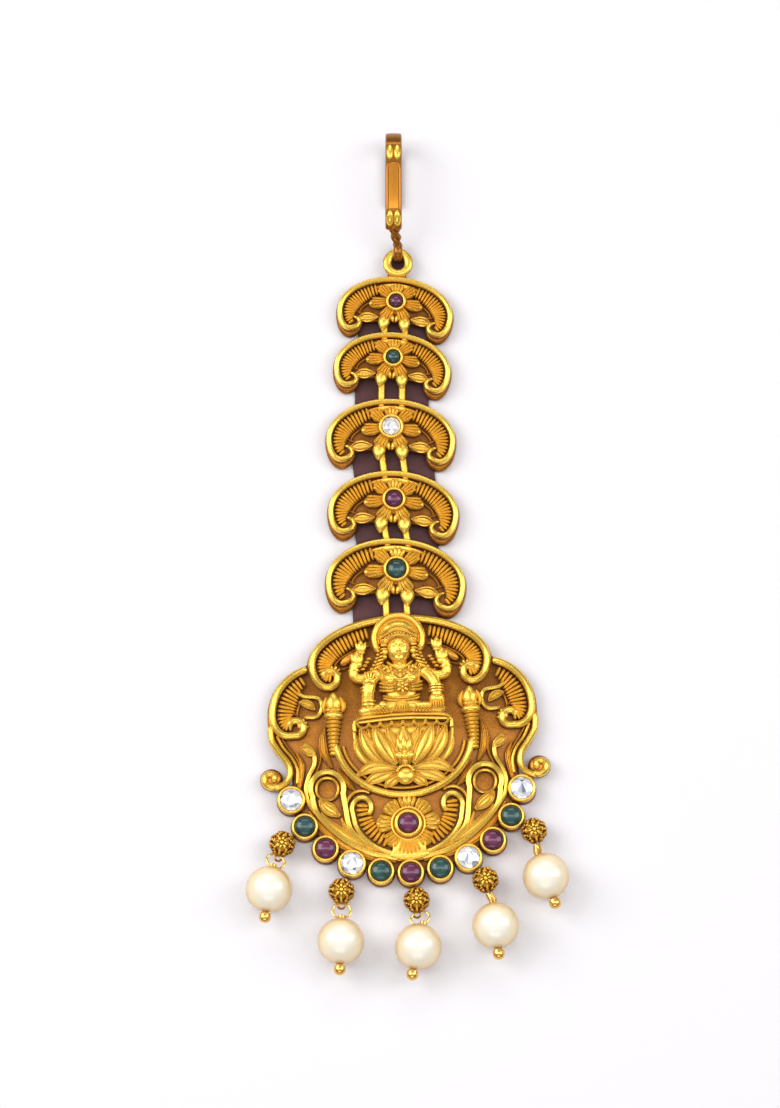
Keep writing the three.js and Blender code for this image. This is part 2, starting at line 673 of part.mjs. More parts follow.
function hookGeometry() {
  const { bend, eye, width, thickness } = hook;
  const arc = arcPoints(bend.y, bend.z, bend.radiusY, bend.radiusZ, 80, -90, 0, 9).map(([y, z]) => [y, z]);
  const route = [...hook.strip, ...arc, ...hook.tail].map(([y, z]) => [hook.stripX, y, z]);
  const section = new THREE.Shape();
  section.moveTo(-width / 2, -thickness / 2);
  section.lineTo(width / 2, -thickness / 2);
  section.lineTo(width / 2, thickness / 2);
  section.lineTo(-width / 2, thickness / 2);
  const eyeRing = ring(eye.radius, eye.wire, 14, 6).rotateY(Math.PI / 2);
  return geometryOf(
    joined([
      swept(section, route, 30),
      wire(hook.shank, hook.shankRadius, 5),
      solid(eyeRing, at(0, eye.y, eye.z)),
    ]),
  );
}

// ---------------------------------------------------------------- the part

const tikka = new THREE.Group();

const hookMesh = named("hook", hookGeometry(), "gold");
hookMesh.position.x = hook.x;
tikka.add(hookMesh);

crescents.forEach((c, i) => {
  const holder = new THREE.Group();
  holder.position.set(c.x, c.y, 0);
  holder.rotation.z = degToRad(c.turn);
  holder.add(named(`crescent_${i + 1}`, crescentGeometry(i), "gold"));
  holder.add(stoneMesh(`crescent_stone_${i + 1}`, c.stone, 0, 0, plateBezel(i)));
  tikka.add(holder, linkRing(i, -1), linkRing(i, 1));
});

const pendantHolder = new THREE.Group();
pendantHolder.rotation.z = degToRad(pendant.turn);
pendantHolder.add(named("pendant", pendantGeometry(), "gold"));
pendantHolder.add(stoneMesh("heart_stone", "ruby", heart.x, heart.y, bezels.heart));
edgeIndexes.forEach((i) => {
  const kind = edgeStones.kinds[Math.abs(i)];
  const name = `edge_stone_${i + edgeStones.perSide + 1}`;
  pendantHolder.add(stoneMesh(name, kind, ...edgeStonePlace(i), bezels.edge));
});
tikka.add(pendantHolder);

drops.forEach((drop, i) => tikka.add(...dropMeshes(drop, i + 1)));

export default tikka;
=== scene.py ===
import math
import random

import bmesh
import bpy
from mathutils import Matrix, Vector, noise


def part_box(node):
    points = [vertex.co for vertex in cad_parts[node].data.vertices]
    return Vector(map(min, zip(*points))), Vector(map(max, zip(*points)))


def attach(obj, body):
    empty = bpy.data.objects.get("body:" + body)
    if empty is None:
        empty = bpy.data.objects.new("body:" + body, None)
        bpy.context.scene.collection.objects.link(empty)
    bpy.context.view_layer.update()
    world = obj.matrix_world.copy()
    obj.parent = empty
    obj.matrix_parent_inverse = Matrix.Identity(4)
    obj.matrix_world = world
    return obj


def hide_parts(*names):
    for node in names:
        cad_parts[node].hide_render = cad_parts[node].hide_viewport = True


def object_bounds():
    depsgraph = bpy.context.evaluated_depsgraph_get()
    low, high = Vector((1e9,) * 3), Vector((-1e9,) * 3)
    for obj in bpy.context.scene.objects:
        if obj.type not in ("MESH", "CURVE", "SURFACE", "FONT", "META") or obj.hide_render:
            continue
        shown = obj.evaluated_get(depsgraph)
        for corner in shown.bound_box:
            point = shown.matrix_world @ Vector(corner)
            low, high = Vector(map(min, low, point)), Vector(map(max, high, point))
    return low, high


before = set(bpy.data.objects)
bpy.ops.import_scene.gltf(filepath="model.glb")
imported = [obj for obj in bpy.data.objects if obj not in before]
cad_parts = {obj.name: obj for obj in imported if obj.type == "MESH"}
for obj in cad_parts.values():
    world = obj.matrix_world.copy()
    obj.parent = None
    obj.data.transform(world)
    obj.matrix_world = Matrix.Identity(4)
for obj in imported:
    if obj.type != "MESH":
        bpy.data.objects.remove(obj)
cadLow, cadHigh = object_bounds()
mm = 0.001  # pieces are shaped in millimetres and scaled when they are finished


class Socket:  # an output of a node that adds, multiplies and so on like a number
    def __init__(self, finish, output):
        self.finish = finish
        self.output = output

    def maths(self, operation, first, second):
        return self.finish.node("ShaderNodeMath", {"operation": operation}, {0: first, 1: second})

    def __add__(self, other):
        return self.maths("ADD", self, other)

    def __radd__(self, other):
        return self.maths("ADD", other, self)

    def __sub__(self, other):
        return self.maths("SUBTRACT", self, other)

    def __rsub__(self, other):
        return self.maths("SUBTRACT", other, self)

    def __mul__(self, other):
        return self.maths("MULTIPLY", self, other)

    def __rmul__(self, other):
        return self.maths("MULTIPLY", other, self)


class Finish:  # a material and its nodes
    def __init__(self, name):
        self.material = bpy.data.materials.new(name)
        self.material.use_nodes = True
        self.tree = self.material.node_tree
        self.surface = self.tree.nodes["Principled BSDF"]

    def link(self, node, inputs):
        for key, value in inputs.items():
            if isinstance(value, Socket):
                self.tree.links.new(value.output, node.inputs[key])
            else:
                node.inputs[key].default_value = value

    def node(self, kind, settings, inputs, output=0):
        made = self.tree.nodes.new(kind)
        for key, value in settings.items():
            if key == "stops":
                setStops(made.color_ramp, value)
            else:
                setattr(made, key, value)
        self.link(made, inputs)
        return Socket(self, made.outputs[output])

    def set(self, **inputs):
        self.link(self.surface, {key.replace("_", " "): value for key, value in inputs.items()})

    def blend(self, factor, first, second):
        settings = {"data_type": "RGBA"}
        return self.node("ShaderNodeMix", settings, {"Factor": factor, 6: first, 7: second}, 2)

    def place(self):
        return self.node("ShaderNodeTexCoord", {}, {}, "Object")

    def openness(self, reach):  # the share of open air within reach
        return self.node("ShaderNodeAmbientOcclusion", {"samples": 6}, {"Distance": reach}, "AO")

    def speckle(self, scale, detail=3.0):
        inputs = {"Vector": self.place(), "Scale": scale, "Detail": detail, "Roughness": 0.55}
        return self.node("ShaderNodeTexNoise", {}, inputs, "Fac")

    def facing(self, blend):
        return self.node("ShaderNodeLayerWeight", {}, {"Blend": blend}, "Facing")

    def ramp(self, stops, factor):
        return self.node("ShaderNodeValToRGB", {"stops": stops}, {"Fac": factor}, "Color")

    def bump(self, height, distance):
        inputs = {"Height": height, "Distance": distance, "Strength": 1.0}
        return self.node("ShaderNodeBump", {}, inputs, "Normal")


def setStops(ramp, stops):
    while len(ramp.elements) < len(stops):
        ramp.elements.new(0.5)
    for element, (position, colour) in zip(ramp.elements, stops):
        element.position = position
        element.color = (*colour, 1)


# How much a surface is polished: its share of open air near by and further off, its height, and chance.
polishing = {"crevice": 0.30, "hollow": 0.20, "raised": 0.58, "cloud": 0.24, "loss": 0.02, "cloudScale": 900}

# Old gold: bright on what stands proud, red-brown in the hollows that polish doesn't reach. The stops run
# from unpolished to polished. Crevice and hollow are the reach of the two shares, low and rise the heights.
goldLooks = {
    "gold": {
        "stops": [
            (0.25, (0.16, 0.054, 0.011)),
            (0.45, (0.34, 0.124, 0.013)),
            (0.62, (0.64, 0.27, 0.030)),
            (0.78, (0.81, 0.445, 0.050)),
            (0.93, (0.94, 0.62, 0.098)),
        ],
        "crevice": 0.5 * mm, "hollow": 2.0 * mm, "low": 1.05 * mm, "rise": 0.75 * mm,
        "rough": 0.27, "dull": 0.30, "grain": 5200, "dent": 0.011 * mm,
    },
    "wire": {
        "stops": [
            (0.25, (0.10, 0.035, 0.014)),
            (0.55, (0.36, 0.15, 0.04)),
            (0.80, (0.66, 0.34, 0.085)),
            (0.95, (0.86, 0.50, 0.13)),
        ],
        "crevice": 0.30 * mm, "hollow": 1.2 * mm, "low": 0.0, "rise": 0.6 * mm,
        "rough": 0.20, "dull": 0.22, "grain": 6000, "dent": 0.006 * mm,
    },
    "bead": {
        "stops": [
            (0.25, (0.07, 0.022, 0.010)),
            (0.55, (0.34, 0.14, 0.018)),
            (0.75, (0.66, 0.33, 0.035)),
            (0.95, (0.95, 0.60, 0.09)),
        ],
        "crevice": 0.35 * mm, "hollow": 1.6 * mm, "low": 1.5 * mm, "rise": 2.2 * mm,
        "rough": 0.27, "dull": 0.28, "grain": 5200, "dent": 0.008 * mm,
    },
    # painted shade: far darker than gold, for the backing strips between the plates and the disc behind the
    # hanging ring
    "backingPaintedShade": {
        "stops": [
            (0.2, (0.028, 0.013, 0.016)),
            (0.6, (0.105, 0.045, 0.045)),
            (0.95, (0.24, 0.11, 0.075)),
        ],
        "crevice": 0.5 * mm, "hollow": 2.0 * mm, "low": 0.0, "rise": 2.4 * mm,
        "rough": 0.42, "dull": 0.25, "grain": 4200, "dent": 0.02 * mm,
    },
    # painted shade: the hook's strap, darker than the gold for the dark surroundings that it mirrors
    "strapPaintedShade": {
        "stops": [
            (0.25, (0.05, 0.018, 0.008)),
            (0.60, (0.16, 0.058, 0.011)),
            (0.95, (0.34, 0.135, 0.02)),
        ],
        "crevice": 0.4 * mm, "hollow": 2.0 * mm, "low": 0.0, "rise": 0.6 * mm,
        "rough": 0.30, "dull": 0.25, "grain": 4200, "dent": 0.012 * mm,
    },
    # painted shade, lighter than the strap: the floor of the hook's channel
    "channelPaintedShade": {
        "stops": [
            (0.25, (0.14, 0.045, 0.01)),
            (0.60, (0.40, 0.14, 0.016)),
            (0.95, (0.60, 0.24, 0.028)),
        ],
        "crevice": 0.25 * mm, "hollow": 1.2 * mm, "low": 0.0, "rise": 0.6 * mm,
        "rough": 0.30, "dull": 0.25, "grain": 4200, "dent": 0.012 * mm,
    },
}


def makeGold(name):
    look = goldLooks[name]
    finish = Finish(name)
    crevice = finish.openness(look["crevice"])
    hollow = finish.openness(look["hollow"])
    cloud = finish.speckle(polishing["cloudScale"])
    grain = finish.speckle(look["grain"], 4.0)
    height = finish.node("ShaderNodeSeparateXYZ", {}, {"Vector": finish.place()}, "Z")
    inputs = {"Value": height, "From Min": look["low"], "From Max": look["low"] + look["rise"]}
    raised = finish.node("ShaderNodeMapRange", {"clamp": True}, inputs, "Result")
    polish = crevice * polishing["crevice"] + hollow * polishing["hollow"] + raised * polishing["raised"]
    polish = polish + (cloud - 0.5) * polishing["cloud"] - polishing["loss"]
    finish.set(
        Base_Color=finish.ramp(look["stops"], polish),
        Metallic=0.42 + 0.38 * hollow,
        Roughness=look["rough"] + look["dull"] * (1 - crevice) + (grain - 0.5) * 0.16,
        Normal=finish.bump(grain, look["dent"]),
        Specular_IOR_Level=0.3,
    )
    return finish.material


# Cabochon colours: deep is the painted shade, lit the painted inner glow, mixed by a cloudy tone
stoneLooks = {
    "ruby": {"deep": (0.030, 0.004, 0.026), "lit": (0.21, 0.014, 0.090)},
    "emerald": {"deep": (0.004, 0.022, 0.026), "lit": (0.016, 0.095, 0.085)},
}


def makeCabochon(name):
    look = stoneLooks[name]
    finish = Finish(name)
    cloud = finish.speckle(1100, 4.0)
    cloudAndPaintedGlow = cloud * 1.9 - 0.45 - finish.facing(0.35) * 0.7  # cloudy tone, with a painted glow in the middle and painted shade at the sides
    finish.set(
        Base_Color=finish.blend(cloudAndPaintedGlow, (*look["deep"], 1), (*look["lit"], 1)),
        Roughness=0.20 + cloud * 0.08,
        Coat_Weight=0.4,
        Coat_Roughness=0.12,
        Specular_IOR_Level=0.5,
    )
    return finish.material


# Painted reflections of the cut crystal: each facet gets a share from dark to white
crystalGlintStops = [
    (0.0, (0.12, 0.13, 0.18)),
    (0.15, (0.42, 0.45, 0.53)),
    (0.34, (0.90, 0.91, 0.95)),
    (1.0, (1.0, 1.0, 1.0)),
]


def makeCrystal():
    finish = Finish("crystal")
    glint = finish.node("ShaderNodeAttribute", {"attribute_name": "facet"}, {}, "Fac")
    finish.set(
        Base_Color=finish.ramp(crystalGlintStops, glint),
        Metallic=0.25 + glint * 0.3,
        Roughness=0.06 + glint * 0.05,
        Coat_Weight=1.0,
        Coat_Roughness=0.02,
    )
    return finish.material


pearlCreamToShadeStops = [
    # from where it faces the eye to its rim: its own cream, darkening to amber towards the rim as painted
    # shade
    (0.0, (0.90, 0.86, 0.74)),
    (0.18, (0.89, 0.81, 0.62)),
    (0.40, (0.86, 0.67, 0.37)),
    (0.70, (0.66, 0.41, 0.15)),
]


def makePearl():
    finish = Finish("pearl")
    cloud = finish.speckle(260)
    # the pearl's cream darkens towards its rim as painted shade
    finish.set(
        Base_Color=finish.ramp(pearlCreamToShadeStops, finish.facing(0.4) + (cloud - 0.5) * 0.2),
        Roughness=0.28 + cloud * 0.1,
        Coat_Weight=1.0,
        Coat_Roughness=0.17,
        Specular_IOR_Level=0.6,
        Normal=finish.bump(finish.speckle(1500), 0.004 * mm),
    )
    return finish.material


materials = {name: makeGold(name) for name in goldLooks}
materials |= {
    "ruby": makeCabochon("ruby"),
    "emerald": makeCabochon("emerald"),
    "crystal": makeCrystal(),
    "pearl": makePearl(),
}
print("finishes made")


# Part of an ellipse, from one angle to another. End is the share of the radius that is left at the stop.
def arc(cx, cy, rx, ry, start, stop, count, z=0.0, end=1.0):
    route = []
    for i in range(count):
        t = i / (count - 1)
        angle = math.radians(start + (stop - start) * t)
        size = 1 + (end - 1) * t
        x = cx + rx * size * math.cos(angle)
        y = cy + ry * size * math.sin(angle)
        route.append(Vector((x, y, z)))
    return route


def mirrored(route):
    return [Vector((-p.x, p.y, p.z)) for p in route]


def spaced(route, count):  # the same line with its points at equal distances
    lengths = [0.0]
    for a, b in zip(route, route[1:]):
        lengths.append(lengths[-1] + (b - a).length)
    made = []
    k = 0
    for i in range(count):
        wanted = lengths[-1] * i / (count - 1)
        while k < len(route) - 2 and lengths[k + 1] < wanted:
            k += 1
        span = max(lengths[k + 1] - lengths[k], 1e-9)
        made.append(route[k].lerp(route[k + 1], (wanted - lengths[k]) / span))
    return made


def curveThrough(points, count, z=None):  # a smooth line through some points, as a Catmull-Rom spline
    stops = [Vector((*p, 0)[:3]) if z is None else Vector((p[0], p[1], z)) for p in points]
    fine = []
    steps = 8  # between two of the points
    for i in range(len(stops) - 1):
        before = stops[max(i - 1, 0)]
        after = stops[min(i + 2, len(stops) - 1)]
        start, stop = stops[i], stops[i + 1]
        for k in range(steps):
            t = k / steps
            fine.append(
                0.5 * (
                    2 * start
                    + (stop - before) * t
                    + (2 * before - 5 * start + 4 * stop - after) * t * t
                    + (3 * start - before - 3 * stop + after) * t ** 3
                )
            )
    fine.append(stops[-1])
    return spaced(fine, count)


def along(route, i):  # the way that the line runs at one of its points
    return (route[min(i + 1, len(route) - 1)] - route[max(i - 1, 0)]).normalized()


def partOf(route, start, stop):
    last = len(route) - 1
    return route[round(start * last):round(stop * last) + 1]


def asMesh(part):
    mesh = bpy.data.meshes.new("stamp")
    part.to_mesh(mesh)
    part.free()
    return mesh


def pour(target, part):  # adds a small part to a larger one
    mesh = asMesh(part)
    target.from_mesh(mesh)
    bpy.data.meshes.remove(mesh)


def stamp(target, shape, place):  # adds a copy of a ready shape
    mesh = shape.copy()
    mesh.transform(place)
    target.from_mesh(mesh)
    bpy.data.meshes.remove(mesh)


def rotation(degrees, axis):
    return Matrix.Rotation(math.radians(degrees), 4, axis)


def put(x, y, z, turn=0.0, size=(1, 1, 1), tip=0.0):  # tip lifts the +X end
    place = Matrix.Translation((x, y, z)) @ rotation(turn, "Z") @ rotation(-tip, "Y")
    return place @ Matrix.Diagonal((*size, 1))


def lyingBall(sides, rings):  # a ball with its poles along X
    part = bmesh.new()
    bmesh.ops.create_uvsphere(part, u_segments=sides, v_segments=rings, radius=1)
    bmesh.ops.rotate(part, matrix=Matrix.Rotation(math.pi / 2, 3, "Y"), verts=part.verts)
    return part


def ball(sides, rings, blunt=1.0):  # blunt below 1 squares off the two ends along X
    part = lyingBall(sides, rings)
    for vert in part.verts:
        vert.co.x = math.copysign(abs(vert.co.x) ** blunt, vert.co.x)
    return asMesh(part)


def petalShape():  # pointed at +X, round at -X
    part = lyingBall(12, 8)
    for vert in part.verts:
        vert.co.y *= 1 - 0.55 * max(vert.co.x, 0) ** 1.2
    return asMesh(part)


shapes = {
    "bead": ball(8, 6),
    "round": ball(16, 10),
    "rib": ball(8, 8, 0.55),
    "petal": petalShape(),
}


# A rod along a line. Wide and high are half its width and height, square flattens its sides, and shape gives
# its size from the start at 0 to the end at 1. Its open ends are rounded.
def sweep(route, wide, high=0.0, sides=8, closed=False, up=(0, 0, 1), square=0.0, shape=None):
    high = high or wide
    endReach, endSize = 0.6, 0.6
    last = len(route) - 1
    spots = []
    for i, point in enumerate(route):
        if closed:
            heading = (route[(i + 1) % len(route)] - route[i - 1]).normalized()
        else:
            heading = along(route, i)
        spots.append((point, heading, shape(i / last) if shape else 1.0))
    if not closed:
        reach = endReach * min(wide, high)
        (a, aHeading, aSize), (b, bHeading, bSize) = spots[0], spots[-1]
        spots.insert(0, (a - aHeading * reach * aSize, aHeading, aSize * endSize))
        spots.append((b + bHeading * reach * bSize, bHeading, bSize * endSize))
    places = []
    for point, heading, size in spots:
        side = heading.cross(Vector(up)).normalized()
        top = side.cross(heading)
        turn = Matrix((side, top, heading)).transposed().to_4x4()
        scale = Matrix.Diagonal((wide * size, high * size, min(wide, high) * size, 1))
        places.append(Matrix.Translation(point) @ turn @ scale)
    part = bmesh.new()
    bmesh.ops.create_circle(part, cap_ends=not closed, segments=sides, radius=1)
    for vert in part.verts:
        reach = max(abs(vert.co.x), abs(vert.co.y))
        vert.co *= 1 + square * (1 / reach - 1)
    bmesh.ops.transform(part, matrix=places[0], verts=part.verts)
    first = part.edges[:]
    edges = first
    for previous, place in zip(places, places[1:]):
        made = bmesh.ops.extrude_edge_only(part, edges=edges)["geom"]
        verts = [g for g in made if isinstance(g, bmesh.types.BMVert)]
        edges = [g for g in made if isinstance(g, bmesh.types.BMEdge) and g.is_boundary]
        bmesh.ops.transform(part, matrix=place @ previous.inverted(), verts=verts)
    if closed:
        bmesh.ops.bridge_loops(part, edges=edges + first)
    else:
        bmesh.ops.contextual_create(part, geom=edges)
    return part


# A raised line, and its mirror image if both are wanted.
def line(target, route, wide, high=0.0, sides=8, both=False, **options):
    pour(target, sweep(route, wide, high, sides, **options))
    if both:
        pour(target, sweep(mirrored(route), wide, high, sides, **options))


def stampOne(target, shape, x, y, z, turn, size, tip=0.0):
    stamp(target, shapes[shape], put(x, y, z, turn, size, tip))


def stampBoth(target, shape, x, y, z, turn, size, tip=0.0):  # a ready shape and its mirror image
    stampOne(target, shape, x, y, z, turn, size, tip)
    stampOne(target, shape, -x, y, z, 180 - turn, size, tip)


def spindle(t):  # thin at both ends
    return 0.25 + 0.75 * math.sin(math.pi * min(max(t, 0.02), 0.98)) ** 0.8


def fading(t):  # thin at its end
    return 1 - 0.6 * t


def turned(profile, steps=28):  # spins (radius, height) points round Z
    part = bmesh.new()
    verts = [part.verts.new((r, 0, z)) for r, z in profile]
    edges = [part.edges.new(pair) for pair in zip(verts, verts[1:])]
    bmesh.ops.spin(
        part, geom=verts + edges, cent=(0, 0, 0), axis=(0, 0, 1),
        angle=math.tau, steps=steps, use_merge=True, use_duplicate=False,
    )
    bmesh.ops.remove_doubles(part, verts=part.verts, dist=1e-5)
    return part


def moved(part, place):
    bmesh.ops.transform(part, matrix=place, verts=part.verts)
    return part


def plate(outline, low, high, edge):  # a flat plate with rounded edges
    curve = bpy.data.curves.new("plate", "CURVE")
    curve.dimensions = "2D"
    curve.fill_mode = "BOTH"
    curve.extrude = (high - low) / 2 - edge
    curve.bevel_depth = edge
    curve.bevel_resolution = 2
    curve.offset = -edge
    spline = curve.splines.new("POLY")
    spline.points.add(len(outline) - 1)
    spline.use_cyclic_u = True
    for point, corner in zip(spline.points, outline):
        point.co = (corner.x, corner.y, 0, 1)
    holder = bpy.data.objects.new("plate", curve)
    part = bmesh.new()
    mesh = bpy.data.meshes.new_from_object(holder)
    part.from_mesh(mesh)
    bpy.data.meshes.remove(mesh)
    bpy.data.objects.remove(holder)
    bpy.data.curves.remove(curve)
    bmesh.ops.remove_doubles(part, verts=part.verts, dist=1e-4)
    bmesh.ops.translate(part, vec=(0, 0, (low + high) / 2), verts=part.verts)
    return part


def fused(part, voxel, smoothing):  # melts overlapping shapes into one skin
    holder = bpy.data.objects.new("fused", asMesh(part))
    bpy.context.scene.collection.objects.link(holder)
    remesh = holder.modifiers.new("remesh", "REMESH")
    remesh.mode = "VOXEL"
    remesh.voxel_size = voxel
    smooth = holder.modifiers.new("smooth", "SMOOTH")
    smooth.factor = 0.5
    smooth.iterations = smoothing
    depsgraph = bpy.context.evaluated_depsgraph_get()
    mesh = bpy.data.meshes.new_from_object(holder.evaluated_get(depsgraph))
    made = bmesh.new()
    made.from_mesh(mesh)
    bpy.data.objects.remove(holder)
    bpy.data.meshes.remove(mesh)
    return made


def finishPiece(part, name, look, nodes=(), place=None, crease=38):
    if place:
        moved(part, place)
    bmesh.ops.scale(part, vec=(mm, mm, mm), verts=part.verts)
    bmesh.ops.recalc_face_normals(part, faces=part.faces)
    mesh = bpy.data.meshes.new(name)
    part.to_mesh(mesh)
    part.free()
    mesh.shade_smooth()
    mesh.set_sharp_from_angle(angle=math.radians(crease))
    piece = bpy.data.objects.new(name, mesh)
    bpy.context.scene.collection.objects.link(piece)
    mesh.materials.append(materials[look])
    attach(piece, "root")
    if nodes:
        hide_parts(*nodes)
    return piece


def middleOf(node):
    low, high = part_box(node)
    return (low + high) / 2 / mm


# Ribs across a line, side by side, and their mirror images. Length gives how long each one is, and inset how
# far from the line it starts.
def ribFan(target, route, side, inset, length, width, z, rise):
    last = len(route) - 1
    tip = -4
    for i, point in enumerate(route):
        heading = along(route, i)
        inward = Vector((-heading.y, heading.x, 0)) * side
        reach = length(i / last)
        spot = point + inward * (inset + reach / 2)
        turn = math.degrees(math.atan2(inward.y, inward.x))
        size = (reach / 2, width / 2, rise)
        stampBoth(target, "rib", spot.x, spot.y, z, turn, size, tip)


# The same line moved sideways towards the middle and set at one height, as the lower edge of a band of ribs.
def beside(route, distance, z):
    made = []
    for i, point in enumerate(route):
        heading = along(route, i)
        spot = point + Vector((heading.y, -heading.x, 0)) * distance
        made.append(Vector((spot.x, spot.y, z)))
    return made


# A ribbed petal that starts at radius low and reaches radius high, pointing along an angle.
def ribbedPetal(target, x, y, z, angle, low, high, width, ribs=4, rise=0.42):
    reach = high - low
    lean = math.radians(angle)
    mid = (low + high) / 2
    spot = Vector((x + mid * math.cos(lean), y + mid * math.sin(lean)))
    stampOne(target, "round", spot.x, spot.y, z - 0.32, angle, (reach * 0.55, width * 0.45, rise))
    for k in range(ribs):
        u = (k + 0.5) / ribs * 2 - 1  # from -1 at one side to 1 at the other
        base = Vector((low, u * width * 0.27))
        tip = Vector((low + reach * (1 - 0.28 * u * u), u * width * 0.5))
        half = (base + tip) / 2
        run = tip - base
        turn = angle + math.degrees(math.atan2(run.y, run.x))
        px = x + half.x * math.cos(lean) - half.y * math.sin(lean)
        py = y + half.x * math.sin(lean) + half.y * math.cos(lean)
        size = (run.length / 2, width * 0.43 / ribs, rise)
        stampOne(target, "rib", px, py, z, turn, size, 5)


def bezelRing(inner, outer, low, top):  # a round setting with a rolled lip and a floor
    lip = (outer - inner) * 0.5
    middle = (inner + outer) / 2
    profile = [(outer + 0.12, low), (outer + 0.05, low + 0.25), (outer, top - lip)]
    for a in (0.6, 1.2, 1.57, 2.1, 2.7):
        profile.append((middle + lip * math.cos(a), top - lip + lip * math.sin(a)))
    profile += [(inner, top - lip * 1.2), (inner - 0.02, low + 0.2), (0, low + 0.2)]
    return turned(profile)


# An almond leaf with a raised edge and a vein, from one point to another, and its mirror image.
def leaf(target, start, stop, width, z, rise):
    a, b = Vector(start), Vector(stop)
    run = b - a
    turn = math.degrees(math.atan2(run.y, run.x))
    middle = (a + b) / 2
    size = run.length / 2
    for flip in (1, -1):
        place = put(middle.x * flip, middle.y, z, turn if flip == 1 else 180 - turn)
        stamp(target, shapes["petal"], place @ put(0, 0, -0.1, 0, (size, width / 2, rise)))
        for hand in (1, -1):
            points = [(-size, 0), (-size * 0.5, hand * width * 0.42)]
            points += [(size * 0.2, hand * width * 0.45), (size, 0)]
            side = sweep(curveThrough(points, 9, rise * 0.6), 0.12, 0.16, 6, shape=spindle)
            pour(target, moved(side, place))
        spine = curveThrough([(-size * 0.8, 0), (size * 0.8, 0)], 5, rise * 0.95)
        pour(target, moved(sweep(spine, 0.09, 0, 6, shape=spindle), place))


# A long leaf that follows a bent spine, with a raised edge and veins.
def feather(target, spine, width, z, both=False, rise=0.3, veins=(-0.46, -0.16, 0.16, 0.46), wire=0.1):
    count = 14
    route = curveThrough(spine, count, z)
    strands = []
    for offset in veins:
        strand = []
        for i, point in enumerate(route):
            heading = along(route, i)
            bulge = math.sin(math.pi * min(max(i / (count - 1), 0.03), 0.97)) ** 0.7
            sideways = Vector((-heading.y, heading.x, 0)) * (offset * width * bulge)
            strand.append(point + sideways + Vector((0, 0, rise * (0.95 - 1.4 * offset * offset))))
        strands.append(strand)
    for flip in ((False, True) if both else (False,)):
        pour(target, sweep(mirrored(route) if flip else route, width / 2, rise, 8, shape=spindle))
        for strand in strands:
            pour(target, sweep(mirrored(strand) if flip else strand, wire, wire * 1.4, 6, shape=spindle))


pendantPlace = rotation(3, "Z")  # the pendant hangs slightly askew
pendantTop = {"y": 11, "rx": 11.5, "ry": 6.1}  # the ellipse of its upper edge

crescent = {
    "turns": [-5, -4.5, -1.5, -2.8, -2.9],
    "halfWidths": [7.45, 7.5, 8.25, 8.3, 8.85],
    "stones": ["ruby", "emerald", "crystal", "ruby", "emerald"],
    "radii": [0.85, 0.85, 1.15, 1.05, 1.2],
    "fullSize": 8.85,  # the half width that the flower and ribs are drawn for
    "sideY": -0.2,  # from here on, shares of the half width
    "topY": 0.465,
    "lobeX": 0.745,
    "lobeY": -0.65,
    "rimLobeY": -0.585,
    "heelX": 0.53,
    "heelY": -0.385,
    "archX": 0.24,
    "archY": -0.34,
    "leaf": [(0.61, -0.325), (0.275, -0.29)],
    "tendril": [(0.70, -0.16), (0.60, -0.225), (0.50, -0.235), (0.40, -0.19)],
    "ground": 0.85,  # from here on, millimetres
    "rimInset": 0.5,
    "rimWide": 0.38,
    "rimHigh": 0.52,
    "rimZ": 1.5,
    "band": {"ribs": 18, "inset": 0.48, "width": 0.44, "rise": 0.5, "lift": 0.62, "foot": 2.95},
    "petals": [
        # angle, reach, width
        (90, 2.85, 2.3),
        (40, 3.5, 1.9),
        (140, 3.5, 1.9),
        (-8, 3.95, 1.9),
        (188, 3.95, 1.9),
        (-59, 3.4, 2.1),
        (239, 3.4, 2.1),
    ],
    "bezel": {"gap": 0.06, "outer": 0.42, "top": 2.42},
    "stone": {"foot": 1.3, "girdle": 2.2, "dome": 0.55, "cut": 0.7},
    "web": {"halfWidth": 0.62, "topY": -0.24, "height": 0.32, "edge": 0.06, "clearance": 0.1},
    "bar": {"half": 2.3, "y": -0.29, "z": 0.85, "radius": 0.22},
    "hangRing": {"x": -0.2, "y": 5.15, "z": 1.4, "radius": 1.38, "wide": 0.54, "high": 0.42, "neckY": 3.6},
}


def placeOf(index):
    spot = middleOf(f"crescent_stone_{index + 1}")
    return Matrix.Translation((spot.x, spot.y, 0)) @ rotation(crescent["turns"][index], "Z")


# The upper edge of the plate below, as a point in this plate's own turned frame.
def edgeBelow(index, x):
    here = placeOf(index)
    if index + 1 < len(crescent["halfWidths"]):
        below = placeOf(index + 1)
        rx = crescent["halfWidths"][index + 1]
        cy = crescent["sideY"] * rx
        ry = (crescent["topY"] - crescent["sideY"]) * rx
    else:
        below = pendantPlace
        cy, rx, ry = (pendantTop[key] for key in ("y", "rx", "ry"))
    y = cy + ry * math.sqrt(1 - (x / rx) ** 2) + crescent["web"]["clearance"]
    return here.inverted() @ below @ Vector((x, y, 0))


def makeWeb(index):  # the strip behind the arch that the rings lie on, darkened as painted shade
    part = bmesh.new()
    web, bar = crescent["web"], crescent["bar"]
    s = crescent["halfWidths"][index]
    edge = web["halfWidth"] * s
    outline = [Vector((edge, web["topY"] * s, 0)), Vector((-edge, web["topY"] * s, 0))]
    outline += [edgeBelow(index, edge * (k / 9 - 1)) for k in range(19)]
    pour(part, plate(outline, 0.0, web["height"], web["edge"]))
    route = [Vector((x, bar["y"] * s, bar["z"])) for x in (-bar["half"], -1, 0, 1, bar["half"])]
    pour(part, sweep(route, bar["radius"], 0, 8))
    if index == 0:  # a disc in the dark painted-shade look closes the hole of the hanging ring from behind
        ring = crescent["hangRing"]
        disc = turned([(0, 0), (ring["radius"], 0), (ring["radius"], 0.16), (0, 0.2)])
        pour(part, moved(disc, put(ring["x"], ring["y"], 0)))
    return part


